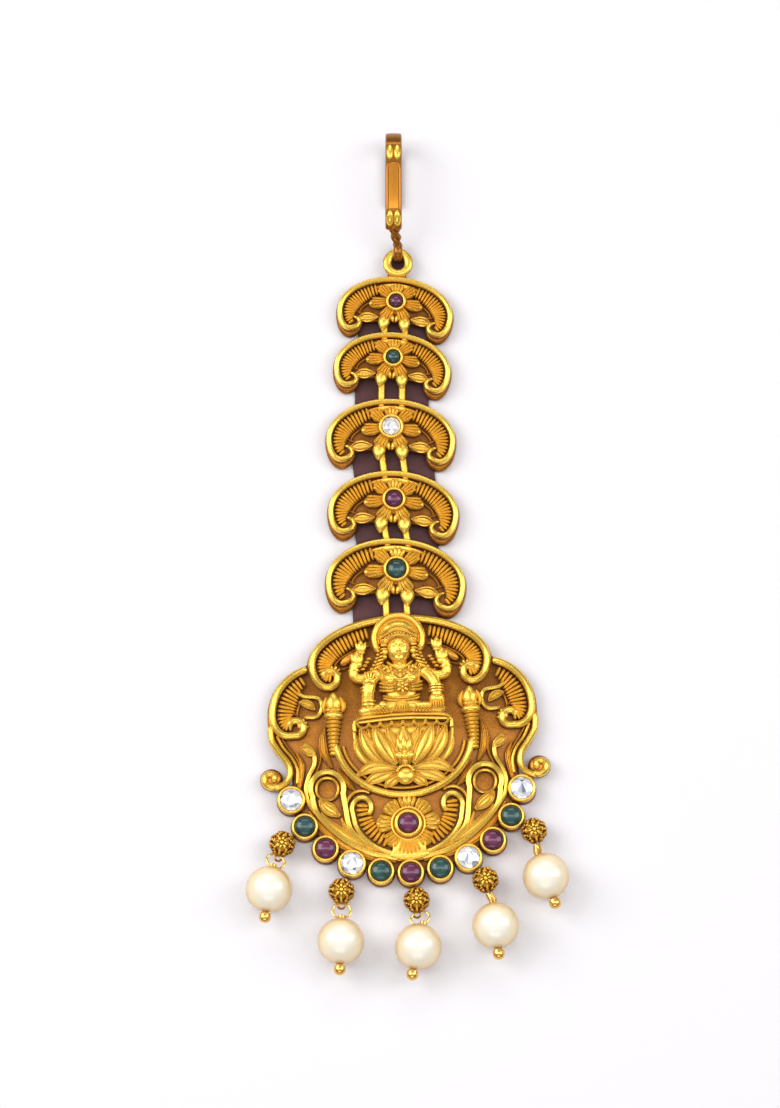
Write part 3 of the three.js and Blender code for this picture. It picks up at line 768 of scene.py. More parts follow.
def crescentOutline(s):
    sideY, topY = crescent["sideY"] * s, crescent["topY"] * s
    lobeX, lobeY = crescent["lobeX"] * s, crescent["lobeY"] * s
    heelX, heelY = crescent["heelX"] * s, crescent["heelY"] * s
    half = arc(0, sideY, s, topY - sideY, 90, 0, 20)
    half += arc(lobeX, sideY, s - lobeX, sideY - lobeY, 0, -90, 9)[1:]
    half += arc(lobeX, heelY, lobeX - heelX, heelY - lobeY, 270, 180, 7)[1:]
    half.append(Vector((crescent["archX"] * s, crescent["archY"] * s, 0)))
    return half + mirrored(half[1:])[::-1]


def crescentRimRoute(s):  # from the top of the arch, round the lobe and into its curl
    z = crescent["rimZ"]
    inset = crescent["rimInset"]
    sideY, topY = crescent["sideY"] * s, crescent["topY"] * s
    lobeX, lobeY = crescent["lobeX"] * s, crescent["rimLobeY"] * s
    heelX, heelY = crescent["heelX"] * s, crescent["heelY"] * s
    half = arc(0, sideY, s - inset, topY - sideY - inset, 90, 0, 22, z)
    half += arc(lobeX, sideY, s - lobeX - inset, sideY - lobeY - inset, 0, -90, 9, z)[1:]
    half += arc(lobeX, heelY, lobeX - heelX - 0.05, heelY - lobeY - inset, 270, 120, 11, z, 0.62)[1:]
    return half


def taper(t):  # thin at the tips of its two curls
    return min(1, 0.45 + 9 * min(t, 1 - t))


def makeCrescent(index):
    s = crescent["halfWidths"][index]
    k = s / crescent["fullSize"]
    z = crescent["ground"]
    part = bmesh.new()
    pour(part, plate(crescentOutline(s), 0.0, z + 0.15, 0.4))
    half = crescentRimRoute(s)
    rim = half[::-1] + mirrored(half)[1:]
    pour(part, sweep(spaced(rim, 110), crescent["rimWide"], crescent["rimHigh"], 10, shape=taper))
    # a low ridge inside the top of the rim, over the ends of the rings
    top = half[:8]
    ridge = [p + Vector((along(top, i).y, -along(top, i).x, -0.2)) * 0.95 for i, p in enumerate(top)]
    pour(part, sweep(mirrored(ridge)[::-1] + ridge[1:], 0.5, 0.46, 8, shape=spindle))
    # fluted band, with a fine line along its foot
    band = crescent["band"]

    def ribLength(t):
        return k * (1.7 + 0.55 * math.sin(math.pi * t) - 0.7 * t ** 4)

    fan = spaced(half[6:28], band["ribs"])
    ribFan(part, fan, -1, band["inset"], ribLength, band["width"] * k, z + band["lift"], band["rise"])
    foot = beside(fan, band["foot"] * k, z + 0.4)
    line(part, spaced(foot[1:-4], 14), 0.11, 0.2, 6, both=True)
    # leaf from the volute to the flower, and the tendril over it
    start, stop = ((x * s, y * s) for x, y in crescent["leaf"])
    leaf(part, start, stop, 1.3 * k, z + 0.62, 0.4)
    tendril = curveThrough([(x * s, y * s) for x, y in crescent["tendril"]], 10, z + 0.35)
    line(part, tendril, 0.12, 0.2, 6, both=True)
    # flower round the stone, and the small petals that hang over the rings
    stampOne(part, "round", 0, 0, z + 0.25, 0, (2.1 * k, 2.1 * k, 0.75))
    for side in (1, -1):
        hanging = put(side * 1.55 * k, -3.35 * k, z + 0.7, -90 + side * 4, (1.35 * k, 0.9 * k, 0.55))
        stamp(part, shapes["petal"], hanging)
        stampOne(part, "petal", side * 0.45 * k, -2.4 * k, z + 0.5, -90 - side * 25, (0.8 * k, 0.5 * k, 0.4))
    radius = crescent["radii"][index]
    for angle, reach, width in crescent["petals"]:
        ribbedPetal(part, 0, 0, z + 0.95, angle, radius + 0.2, reach * k, width * k)
    bezel = crescent["bezel"]
    pour(part, bezelRing(radius + bezel["gap"], radius + bezel["outer"], z, bezel["top"]))
    if index == 0:
        ring = crescent["hangRing"]
        loop = arc(ring["x"], ring["y"], ring["radius"], ring["radius"], 0, 345, 24, ring["z"])
        pour(part, sweep(loop, ring["wide"], ring["high"], 10, closed=True))
        stampOne(part, "round", ring["x"], ring["neckY"], 1.1, 0, (1.2, 0.7, 0.5))
    return part


def cabochon(radius, foot, girdle, rise):
    low = girdle - 0.1
    profile = [(0, foot), (radius * 0.85, foot), (radius, low)]
    for a in (0.35, 0.7, 1.0, 1.25, 1.45):
        profile.append((radius * math.cos(a), low + (rise + 0.1) * math.sin(a)))
    profile.append((0, girdle + rise))
    return turned(profile, 24)


def brilliant(radius, foot, girdle, rise):  # a round cut stone
    part = bmesh.new()
    rings = [
        # radius, number of corners, height, turn
        (radius, 16, girdle, 0),
        (radius * 0.78, 8, girdle + rise * 0.6, 22.5),
        (radius * 0.52, 8, girdle + rise, 0),
        (radius * 0.7, 16, foot, 0),
    ]
    for reach, sides, height, turn in rings:
        bmesh.ops.create_circle(part, segments=sides, radius=reach, matrix=put(0, 0, height, turn))
    bmesh.ops.convex_hull(part, input=part.verts)
    loose = [e for e in part.edges if not e.link_faces]
    bmesh.ops.delete(part, geom=loose, context="EDGES")
    return part


def makeStone(name, kind, radius, foot, girdle, rise, seed):
    spot = middleOf(name)
    place = Matrix.Translation((spot.x, spot.y, 0))
    gem = name.replace("stone", "gem")
    if kind != "crystal":
        finishPiece(cabochon(radius, foot, girdle, rise), gem, kind, [name], place, 60)
        return
    piece = finishPiece(brilliant(radius, foot, girdle, rise * 0.6), gem, kind, [name], place, 1)
    draw = random.Random(seed)
    glints = piece.data.attributes.new("facet", "FLOAT", "FACE")  # a painted reflection, from dark to white, for each of its facets
    for glint in glints.data:
        glint.value = draw.random()


for i, kind in enumerate(crescent["stones"]):
    finishPiece(makeCrescent(i), f"crescent_plate_{i + 1}", "gold", [f"crescent_{i + 1}"], placeOf(i))
    # the backing strip is drawn in the dark painted-shade look
    finishPiece(makeWeb(i), f"crescent_backing_{i + 1}", "backingPaintedShade", (), placeOf(i))
    stone = crescent["stone"]
    rise = stone["cut"] if kind == "crystal" else stone["dome"]
    makeStone(f"crescent_stone_{i + 1}", kind, crescent["radii"][i], stone["foot"], stone["girdle"], rise, i)
print("crescents made")


pendant = {
    "ground": 0.8,
    "roundedEdge": 0.26,
    "rimZ": 1.62,
    "rimWide": 0.46,
    "one": {"lobeX": 9.0, "inset": 0.62, "curlEnd": 0.42},
    "two": {"x": 10.2, "y": 4.8, "rx": 6.5, "ry": 6.6, "inset": 0.62, "curlEnd": 0.4},
    "neckEdge": [(16.75, 2.6), (16.1, 0.6), (14.7, -1.2), (14.0, -2.9), (14.2, -4.6)],
    "bowl": {"y": -0.55, "rx": 14.7, "ry": 14.95},
}


def pendantOutline():
    top, two, bowl = pendantTop, pendant["two"], pendant["bowl"]
    half = arc(0, top["y"], top["rx"], top["ry"], 90, 4, 20)
    half += arc(two["x"], two["y"], two["rx"], two["ry"], 77, 0, 12)
    half += curveThrough(pendant["neckEdge"], 10)
    half += arc(0, bowl["y"], bowl["rx"], bowl["ry"], 344, 270, 22)[1:]
    return half + mirrored(half[1:-1])[::-1]


def makePlate():
    part = bmesh.new()
    pour(part, plate(pendantOutline(), 0.0, pendant["ground"], pendant["roundedEdge"]))
    return part


# The rims of the two tiers, each from its top down round the lobe and into the curl.
def tierOneRoute():
    top, one = pendantTop, pendant["one"]
    z, inset, x, y = pendant["rimZ"], one["inset"], one["lobeX"], top["y"]
    half = arc(0, y, top["rx"] - inset, top["ry"] - inset, 90, 2, 24, z)
    half += arc(x, y, 2.5 - inset, 3.45 - inset, -6, -92, 9, z)
    half += arc(x - 0.05, 9.5, 1.45, 1.35, -96, -330, 14, z, one["curlEnd"])
    return half


def tierTwoRoute():
    two = pendant["two"]
    z, inset, y = pendant["rimZ"] - 0.1, two["inset"], two["y"]
    side = arc(two["x"], y, two["rx"] - inset, two["ry"] - inset, 74, 0, 16, z)
    side += arc(14.2, y, 2.5 - inset, 3.1 - inset, -6, -95, 9, z)
    side += arc(13.5, 3.5, 1.5, 1.25, -110, -330, 12, z, two["curlEnd"])
    return side


# Mirrored raised lines, each with its points, steps, lift, half width and half height.
def strokes(target, rows, z, sides=8):
    for points, steps, lift, wide, high in rows:
        line(target, curveThrough(points, steps, z + lift), wide, high, sides, both=True)


# Mirrored long leaves, each with its spine, width, lift and rise.
def leaves(target, rows, z):
    for spine, width, lift, rise in rows:
        feather(target, spine, width, z + lift, both=True, rise=rise)


tiers = {
    "ribWidth": 0.44,
    "ribRise": 0.52,
    "tendrils": [
        # points, number of steps, lift, half width, half height
        ([(4.2, 13.6), (6.3, 12.9), (7.9, 11.2), (8.1, 9.9)], 14, 0.35, 0.12, 0.2),
        ([(4.2, 13.3), (4.9, 11.6), (6.6, 10.6), (8.0, 10.4)], 14, 0.35, 0.1, 0.2),
    ],
    "clusters": [(8.3, 9.9, 150), (12.7, 3.5, 120)],
    "scroll": [
        ([(12.9, 7.7), (12.0, 7.2), (10.3, 6.9), (9.9, 5.7), (10.6, 4.6), (12.0, 4.6)], 22, 0.6, 0.26, 0.34),
    ],
    "scrollLeaf": [([(12.7, 6.5), (11.6, 6.2), (10.8, 5.5)], 0.95, 0.6, 0.3)],
}


def makeTiers():
    part = bmesh.new()
    ground = pendant["ground"]
    width, rise = tiers["ribWidth"], tiers["ribRise"]
    half = tierOneRoute()
    pour(part, sweep(spaced(half[::-1] + mirrored(half)[1:], 130), pendant["rimWide"], 0.52, 10))
    wing = tierTwoRoute()
    line(part, spaced(wing, 56), pendant["rimWide"], 0.5, 10, both=True)

    # fluted bands inside both rims, with a fine line along the foot of each
    def upperRib(t):
        return 1.45 + 0.65 * math.sin(math.pi * min(t * 1.1, 1))

    def lowerRib(t):
        return 1.3 + 1.0 * math.sin(math.pi * min(t * 1.15, 1))

    fan = spaced(partOf(half, 0.13, 0.70), 23)
    ribFan(part, fan, -1, 0.62, upperRib, width, ground + 0.65, rise)
    foot = beside(fan, 2.85, ground + 0.5)
    line(part, spaced(foot[:-3], 16), 0.13, 0.2, 6, both=True)
    strokes(part, tiers["tendrils"], ground, 6)
    stampBoth(part, "round", 6.1, 12.0, ground + 0.15, -38, (1.7, 0.75, 0.45))
    fan = spaced(partOf(wing, 0.06, 0.66), 17)
    ribFan(part, fan, -1, 0.60, lowerRib, width, ground + 0.6, rise)
    foot = beside(fan, 3.05, ground + 0.5)
    line(part, spaced(foot[1:-1], 14), 0.13, 0.2, 6, both=True)
    # leaf clusters at the ends of the bands
    for x, y, turn in tiers["clusters"]:
        for k in range(5):
            lean = math.radians(turn + 34 * (k - 2))
            tipX, tipY = x + 0.62 * math.cos(lean), y + 0.62 * math.sin(lean)
            stampBoth(part, "rib", tipX, tipY, ground + 0.75, math.degrees(lean), (0.42, 0.2, 0.3))
        stampBoth(part, "bead", x, y, ground + 0.85, 0, (0.36, 0.36, 0.36))
    # small scroll between the second tier and the finial
    strokes(part, tiers["scroll"], ground)
    leaves(part, tiers["scrollLeaf"], ground)
    return part


scrollwork = {
    "lift": 0.65,
    "neck": [
        (16.4, 3.4),
        (16.25, 1.7),
        (15.3, 0.1),
        (14.45, -1.1),
        (14.2, -2.3),
        (14.75, -3.5),
        (15.9, -4.1),
    ],
    "curl": (16.6, -2.95, 1.12),
    "curlBed": (16.55, -2.95, 1.42),
    "neckLines": [
        # points, number of steps, lift, half width, half height
        ([(15.6, 2.4), (14.9, 0.9), (13.9, -0.4), (13.3, -1.9), (13.4, -3.6)], 20, -0.1, 0.2, 0.34),
        ([(15.0, 2.0), (14.2, 0.7), (13.3, -0.7), (12.9, -2.2), (13.0, -4.2)], 20, -0.2, 0.14, 0.3),
    ],
    "stems": [
        (
            [
                (12.3, 1.2), (11.3, 0.3), (11.15, -1.3), (11.9, -2.8),
                (12.35, -4.4), (12.1, -6.2), (11.2, -7.6),
            ],
            30,
            0,
            0.3,
            0.42,
        ),
        ([(10.6, 1.0), (10.35, -0.6), (10.9, -2.2), (11.6, -3.6), (11.8, -5.4)], 20, -0.15, 0.13, 0.3),
    ],
    "loopStart": [(5.2, -11.9), (7.1, -9.8), (7.6, -7.0)],
    "loopEnd": [(11.6, -5.7), (11.2, -7.4), (9.8, -9.2), (7.5, -11.3), (4.6, -12.9), (1.6, -13.6)],
    "leaves": [
        # spine, width, lift, rise: under the loop and down beside it
        ([(10.7, -5.9), (9.9, -6.9), (8.4, -8.0)], 1.5, 0.15, 0.36),
        ([(10.6, -7.5), (9.4, -9.1), (7.0, -11.0), (4.0, -12.5)], 1.1, 0, 0.34),
        ([(12.1, -7.2), (10.6, -9.4), (8.0, -11.7), (5.0, -13.2), (1.8, -14.0)], 0.9, -0.15, 0.3),
        ([(8.2, -8.3), (7.4, -10.0), (5.6, -11.7), (3.2, -12.9)], 0.8, 0, 0.3),
    ],
    "groundLeaves": [
        # the ground beside the stem and the neck
        ([(9.6, 3.3), (10.0, 1.6), (9.8, -0.2), (9.0, -1.9)], 0.9, -0.25, 0.3),
        ([(13.3, 0.2), (12.8, -1.2), (13.0, -3.0), (13.3, -5.0)], 0.7, -0.3, 0.3),
        ([(8.4, -2.0), (7.6, -3.4), (6.3, -4.9)], 0.8, -0.25, 0.3),
    ],
}


def makeScrollwork():
    part = bmesh.new()
    z = pendant["ground"] + scrollwork["lift"]
    # neck with two parallel lines, ending in a curl
    x, y, radius = scrollwork["curl"]
    neck = curveThrough(scrollwork["neck"], 26, z)
    neck += arc(x, y, radius, radius, 238, 560, 26, z, 0.34)
    line(part, spaced(neck, 60), 0.42, 0.5, 10, both=True)
    strokes(part, scrollwork["neckLines"], z)
    x, y, radius = scrollwork["curlBed"]
    for side in (1, -1):
        stampOne(part, "round", side * x, y, 0.75, 0, (radius, radius, 0.75))
    # stem with an almond leaf at its head
    strokes(part, scrollwork["stems"], z)
    leaf(part, (12.7, 0.9), (10.9, -0.4), 0.95, z + 0.15, 0.34)
    # loops, with a second ring inside the first
    loop = curveThrough(scrollwork["loopStart"], 14, z)[:-1]
    loop += arc(9.75, -4.5, 2.05, 2.1, 200, -30, 22, z)
    loop += curveThrough(scrollwork["loopEnd"], 26, z)
    line(part, spaced(loop, 80), 0.4, 0.55, 8, both=True)
    line(part, arc(9.75, -4.55, 1.38, 1.42, 0, 345, 24, z - 0.1), 0.2, 0.34, 8, both=True, closed=True)
    leaves(part, scrollwork["leaves"], z)
    for k in range(7):
        t = k / 6
        stampBoth(part, "rib", 7.9 - 0.6 * t, -5.0 - 3.6 * t, z - 0.2, 250 + 10 * t, (0.4, 0.15, 0.28))
    leaves(part, scrollwork["groundLeaves"], z)
    return part


smile = {
    # centre, radii and angles of the arcs, from the middle outwards
    "rim": [(0, -7.7, 6.75, 5.6, 268, 345, 20), (5.35, -7.35, 1.5, 1.85, 5, 215, 16)],
    "outer": [(0, -7.7, 7.5, 6.2, 262, 352, 26), (5.6, -7.3, 2.0, 2.35, 10, 120, 12)],
    "lift": 0.7,
    "curlEnd": 0.5,
}


def makeSmile():  # the crescent under the lotus: a double rim with curls at both tips
    part = bmesh.new()
    z = pendant["ground"] + smile["lift"]
    bow, curl = smile["rim"]
    half = arc(*bow, z) + arc(*curl, z, smile["curlEnd"])
    rim = mirrored(half)[::-1] + half[1:]
    pour(part, sweep(spaced(rim, 96), 0.36, 0.55, 10))
    outer = [point for piece in smile["outer"] for point in arc(*piece, z - 0.15)]
    line(part, spaced(outer, 40), 0.22, 0.4, 8, both=True)

    def ribLength(t):
        return 1.45 + 0.5 * math.sin(math.pi * t)

    ribFan(part, spaced(half[8:22], 11), 1, 0.48, ribLength, 0.46, z + 0.15, 0.5)
    return part


heart = {
    "spot": (0, -9.45),
    "lift": 0.55,
    "bed": (2.9, 2.9, 0.8),
    "petalStart": 2.0,
    "petals": [
        # angle, reach, width
        (90, 3.6, 2.6),
        (47, 3.7, 2.5),
        (133, 3.7, 2.5),
        (3, 3.95, 2.6),
        (177, 3.95, 2.6),
        (-42, 3.6, 2.4),
        (222, 3.6, 2.4),
        (270, 3.9, 3.2),
    ],
    "wide": 3,  # petals from this width on have six ribs, the others four
    "tab": [(0, -11.2), (1.4, -11.3), (2.5, -11.6), (2.05, -12.4), (2.5, -13.4), (1.3, -13.85), (0, -14.0)],
    "tabZ": (1.0, 2.12, 0.3),
}


def makeHeart():
    part = bmesh.new()
    z = pendant["ground"] + heart["lift"]
    x, y = heart["spot"]
    stampOne(part, "round", x, y, z - 0.1, 0, heart["bed"])
    for angle, reach, width in heart["petals"]:
        ribs = 6 if width >= heart["wide"] else 4
        ribbedPetal(part, x, y, z + 0.5, angle, heart["petalStart"], reach, width, ribs, 0.5)
    # the tab under the flower, over the ends of the loops
    half = curveThrough(heart["tab"], 22)
    pour(part, plate(half + mirrored(half[1:-1])[::-1], *heart["tabZ"]))
    place = Matrix.Translation((x, y, 0))
    pour(part, moved(bezelRing(1.28, 1.72, z, 2.72), place))
    pour(part, moved(bezelRing(1.85, 2.2, z - 0.4, 2.2), place))
    return part


ovalFrame = {
    "lift": 0.2,
    # centre height, radii, angles and steps
    "bow": (0, 1.6, 8.45, 7.4, 352, 188, 44),
    "innerBow": (0, 1.6, 7.6, 6.5, 352, 188, 40),
    "sideLeaves": [
        ([(7.5, 4.9), (7.2, 5.8), (7.6, 6.9)], 0.5, -0.4, 0.3),
        ([(9.5, 4.9), (9.75, 5.8), (9.3, 6.9)], 0.5, -0.4, 0.3),
    ],
}


def makeFrameTube():
    part = bmesh.new()
    z = pendant["rimZ"] + ovalFrame["lift"]
    pour(part, sweep(arc(*ovalFrame["bow"], z), 0.44, 0.5, 10))
    pour(part, sweep(arc(*ovalFrame["innerBow"], z - 0.4), 0.2, 0.4, 8))
    # ribbed finials: rings of falling size, a bright cap and a bud
    for k in range(9):
        t = k / 8
        size = (0.98 - 0.46 * t, 0.30, 0.95 - 0.4 * t)
        stampBoth(part, "round", 8.55 + 0.02 * k, 3.7 - 3.9 * t, z - 0.1, 2, size)
    stampBoth(part, "round", 8.5, 4.5, z + 0.1, 2, (1.2, 0.62, 1.0))
    stampBoth(part, "round", 8.5, 5.25, z - 0.1, 2, (1.05, 0.4, 0.85))
    stampBoth(part, "petal", 8.45, 6.2, z - 0.3, 92, (1.35, 1.0, 0.6))
    leaves(part, ovalFrame["sideLeaves"], z)
    for side in (-1, 1):
        for hand in (-1, 0, 1):
            points = [(side * 8.5 + hand * 0.55, 5.0), (side * 8.5 + hand * 0.62, 5.8), (side * 8.45, 6.9)]
            line(part, curveThrough(points, 9, z + 0.25 - 0.2 * abs(hand)), 0.13, 0.2, 6, shape=fading)
    return part


lotus = {
    "lift": 0.6,
    "leaves": [
        # spine, width, height above the seat
        ([(3.0, -2.0), (4.5, -1.2), (5.5, 0.2), (5.9, 1.9)], 1.5, 0.3),
        ([(2.1, -2.0), (3.5, -0.9), (4.6, 0.8), (5.2, 2.6)], 1.8, 0.75),
        ([(1.6, -2.0), (2.9, -0.7), (3.9, 1.0), (4.4, 2.7)], 1.3, 0.6),
        ([(1.1, -2.0), (2.1, -0.6), (3.0, 1.1), (3.5, 2.8)], 1.9, 1.05),
        ([(0.5, -2.0), (1.0, -0.3), (1.6, 1.3), (2.0, 2.9)], 1.3, 0.85),
    ],
    "spread": [
        ([(0.8, -2.5), (2.6, -2.1), (4.3, -2.3), (5.9, -3.1)], 1.5, 0.6),
        ([(0.6, -2.8), (2.4, -3.1), (4.0, -3.7), (5.1, -4.3)], 1.5, 0.4),
        ([(0.5, -3.0), (1.5, -3.8), (2.6, -4.7)], 1.3, 0.3),
    ],
    "rims": [
        # points, half width and height of the band, height above the seat
        (
            [(-6.0, 2.4), (-5.95, 3.4), (-5.0, 3.95), (0, 4.2), (5.0, 3.95), (5.95, 3.4), (6.0, 2.4)],
            0.26,
            0.42,
            0.75,
        ),
        ([(-5.4, 3.4), (0, 3.7), (5.4, 3.4)], 0.19, 0.32, 1.1),
    ],
    "side": [([(6.05, 2.6), (5.9, 1.0), (5.0, -0.9), (3.6, -2.1)], 18, 0.35, 0.24, 0.4)],
    "scallops": {"count": 8, "step": 1.4, "y": 3.3, "rx": 0.74, "ry": 0.62},
    "voxel": 0.16,
}


def makeLotus():
    part = bmesh.new()
    z = pendant["ground"] + lotus["lift"]
    bowl = bmesh.new()
    stampOne(bowl, "round", 0, 0.6, z - 0.3, 0, (5.0, 2.9, 1.2))
    stampOne(bowl, "round", 0, 2.3, z - 0.2, 0, (5.9, 1.5, 1.2))
    pour(part, fused(bowl, lotus["voxel"], 3))
    for points, wide, high, lift in lotus["rims"]:
        line(part, curveThrough(points, 36, z + lift), wide, high, 8)
    row = lotus["scallops"]
    middle = (row["count"] - 1) / 2
    for k in range(row["count"]):
        height = z + 1.2 - 0.05 * abs(k - middle)
        scallop = arc(row["step"] * (k - middle), row["y"], row["rx"], row["ry"], 180, 360, 9, height)
        line(part, scallop, 0.17, 0.28, 6)
    strokes(part, lotus["side"], z)
    bold = {"both": True, "rise": 0.42, "veins": (-0.45, -0.02, 0.45), "wire": 0.15}
    for spine, width, lift in lotus["leaves"] + lotus["spread"]:
        feather(part, spine, width, z + lift, **bold)
    feather(part, [(0, -2.2), (0, 0.2), (0, 2.6)], 2.0, z + 1.1, rise=0.4, veins=(-0.45, 0.45), wire=0.15)
    # bud in the middle, then the roundel at the foot with its crown of beads
    for k in (-1, 0, 1):
        stampOne(part, "petal", 0.6 * k, 0.5 - 0.2 * abs(k), z + 1.5, 90 - 14 * k, (0.95, 0.38, 0.32))
    stampBoth(part, "bead", 0.65, -1.0, z + 1.35, 0, (0.6, 0.5, 0.4))
    stampOne(part, "bead", 0, -1.15, z + 1.5, 0, (0.5, 0.45, 0.4))
    stampOne(part, "round", 0, -3.5, z + 0.7, 0, (1.15, 1.1, 0.7))
    for k in range(9):
        lean = math.radians(20 + 17.5 * k)
        spot = put(1.05 * math.cos(lean), -3.2 + 0.95 * math.sin(lean), z + 1.1, 0, (0.22, 0.2, 0.2))
        stamp(part, shapes["bead"], spot)
    return part


for name, make in (
    ("pendant_plate", makePlate),
    ("pendant_tiers", makeTiers),
    ("pendant_scrollwork", makeScrollwork),
    ("pendant_smile", makeSmile),
    ("heart_flower", makeHeart),
    ("oval_frame", makeFrameTube),
    ("lotus", makeLotus),
):
    finishPiece(make(), name, "gold", ["pendant"] if name == "pendant_plate" else (), pendantPlace)
print("pendant made")


figure = {
    "voxel": 0.11,
    "skin": [
        # x, y, z, half width, half height, half depth
        (-0.05, 12.35, 2.4, 1.5, 1.75, 1.2),
        (0, 10.9, 2.1, 0.9, 0.9, 0.9),
        (0, 9.75, 1.95, 3.3, 0.95, 0.9),
        (0, 8.5, 2.0, 2.5, 1.6, 1.0),
        (-1.1, 8.7, 2.55, 1.0, 0.85, 0.75),
        (1.1, 8.7, 2.55, 1.0, 0.85, 0.75),
        (0, 6.8, 1.9, 1.9, 1.3, 0.85),
        (0, 5.3, 1.95, 2.9, 0.95, 1.0),
    ],
    "rearArm": [(2.9, 9.8, 1.9), (4.5, 9.0, 1.95), (5.75, 9.3, 2.05), (5.6, 10.7, 2.15)],
    "thigh": [(1.0, 5.1, 2.0), (3.0, 5.0, 2.2), (4.9, 4.75, 1.9)],
    "frontArm": [(-2.9, 9.6, 2.1), (-4.0, 7.9, 2.0), (-4.2, 5.4, 2.2), (-4.1, 6.9, 2.7), (-3.85, 8.0, 2.8)],
    "givingArm": [(2.9, 9.6, 2.1), (3.9, 8.5, 2.2), (4.35, 7.5, 2.5), (4.35, 6.3, 2.6)],
    "head": (-0.05, 12.35, 2.5),
    "chin": (0, -1.15, 0.45, 0, (0.62, 0.5, 0.5)),  # place from the middle of the head, turn and size
    "cheek": (0.62, -0.4, 0.55, 0, (0.5, 0.52, 0.42)),
    "brow": (0.5, 0.62, 0.78, -8, (0.5, 0.14, 0.16)),
    "nose": [(0, 0.05, 0.98, 0, (0.17, 0.5, 0.22)), (0, -0.28, 1.08, 0, (0.26, 0.16, 0.2))],
    "eye": (0.52, 0.3, 0.92, -5, (0.3, 0.13, 0.16)),
    "lid": [(0.22, 0.28), (0.52, 0.2), (0.84, 0.32)],
    "lidZ": 1.02,
    "lips": [(0, -0.72, 1.02, 0, (0.36, 0.09, 0.13)), (0, -0.89, 1.02, 0, (0.28, 0.09, 0.13))],
    "hair": [(0, 14.1, 1.85, 0, (2.65, 2.1, 1.1)), (0, 14.9, 2.0, 0, (2.1, 1.45, 1.15))],
    "brims": [(0.0, 1.65, 0.17), (0.62, 2.35, 0.13), (1.15, 2.4, 0.12)],  # lift, reach, size
    "chains": [(0.0, 1.5, 0.15), (0.6, 2.1, 0.17), (1.15, 2.7, 0.15)],  # drop, reach, size
    "medallion": (0.2, 7.5),
    "frontBangles": (-4.1, 2.5, 0.84, (5.5, 5.95, 7.3, 7.65)),  # x, z, radius and the heights of each
    "givingBangles": (4.35, 2.55, 0.82, (7.55, 7.2, 6.85)),
}


def bangle(target, x, y, z, turn, radius):  # a ring round a limb that points along turn
    loop = [Vector((0, p.x, p.y)) for p in arc(0, 0, radius, radius * 0.9, 0, 330, 12)]
    pour(target, moved(sweep(loop, 0.13, 0, 6, closed=True, up=(1, 0, 0)), put(x, y, z, turn)))


def lotusBud(target, x, y, z, size):
    stampOne(target, "petal", x, y, z, 90, (size, size * 0.6, size * 0.5))
    for side in (-1, 1):
        outer = (size * 0.9, size * 0.36, size * 0.4)
        stampOne(target, "petal", x + side * size * 0.36, y - size * 0.1, z, 90 - side * 22, outer)
    stampOne(target, "round", x, y - size * 0.75, z, 0, (size * 0.55, size * 0.22, size * 0.5))


def onHead(target, feature, side=1):  # a rounded feature placed from the middle of the head
    headX, headY, headZ = figure["head"]
    x, y, z, turn, size = feature
    stampOne(target, "round", headX + side * x, headY + y, headZ + z, side * turn, size)


def symmetric(left):  # a line from its left end to its middle, and on to its right end
    return left + [(-x, y, z) for x, y, z in left[1::-1]]


def makeSkin():  # body, limbs and head, melted into one skin
    body = bmesh.new()
    for x, y, z, wide, tall, deep in figure["skin"]:
        stampOne(body, "round", x, y, z, 0, (wide, tall, deep))
    for limb, size in (("rearArm", 0.62), ("thigh", 0.72)):
        line(body, curveThrough(figure[limb], 14), size, 0, 10, both=True)
    pour(body, sweep(curveThrough(figure["frontArm"], 24), 0.8, 0.7, 10))
    pour(body, sweep(curveThrough(figure["givingArm"], 16), 0.72, 0.66, 10))
    onHead(body, figure["chin"])
    for side in (-1, 1):
        onHead(body, figure["cheek"], side)
        onHead(body, figure["brow"], side)
    for feature in figure["nose"]:
        onHead(body, feature)
    return fused(body, figure["voxel"], 2)


def addHead(part):  # eyelids, lips, hair, crown, halo, ear ornaments and the curls beside the neck
    headX, headY, headZ = figure["head"]
    for side in (-1, 1):
        onHead(part, figure["eye"], side)
        lid = [(headX + side * x, headY + y) for x, y in figure["lid"]]
        pour(part, sweep(curveThrough(lid, 7, headZ + figure["lidZ"]), 0.05, 0.07, 6, shape=spindle))
    for feature in figure["lips"]:
        onHead(part, feature)
    for x, y, z, turn, size in figure["hair"]:
        stampOne(part, "round", x, y, z, turn, size)
    # the thin peaked brims of the crown and a row of beads over them
    for lift, reach, size in figure["brims"]:
        brim = symmetric([(-reach, 13.15 + lift, 2.7), (-1.0, 13.85 + lift, 3.15), (0, 14.1 + lift, 3.25)])
        pour(part, sweep(curveThrough(brim, 22), size, size * 1.4, 6))
    for k in range(11):
        t = k / 5 - 1
        stampOne(part, "bead", 1.9 * t, 14.4 - 0.75 * t * t, 3.05 - 0.5 * t * t, 0, (0.17, 0.19, 0.2))
    # halo: a broad arch with a finer one inside it
    pour(part, sweep(arc(0, 13.85, 2.98, 2.9, -28, 208, 32, 1.95), 0.42, 0.55, 10))
    pour(part, sweep(arc(0, 13.85, 2.5, 2.4, -15, 195, 28, 2.15), 0.13, 0.3, 8))
    for k in range(7):
        t = k / 6
        x = 0.95 * t * t
        size = (0.45 + 0.16 * t, 0.19, 0.44)
        stampBoth(part, "round", 1.85 + x, 12.9 - 2.7 * t, 2.6 - 0.15 * t, -25 * t, size)
        stampBoth(part, "bead", 2.5 + x, 12.7 - 2.6 * t, 2.35 - 0.1 * t, 0, (0.27, 0.2, 0.3))
    stampBoth(part, "bead", 1.75, 12.0, 3.0, 0, (0.38, 0.38, 0.36))
    stampBoth(part, "bead", 1.8, 11.4, 2.95, 0, (0.28, 0.28, 0.3))


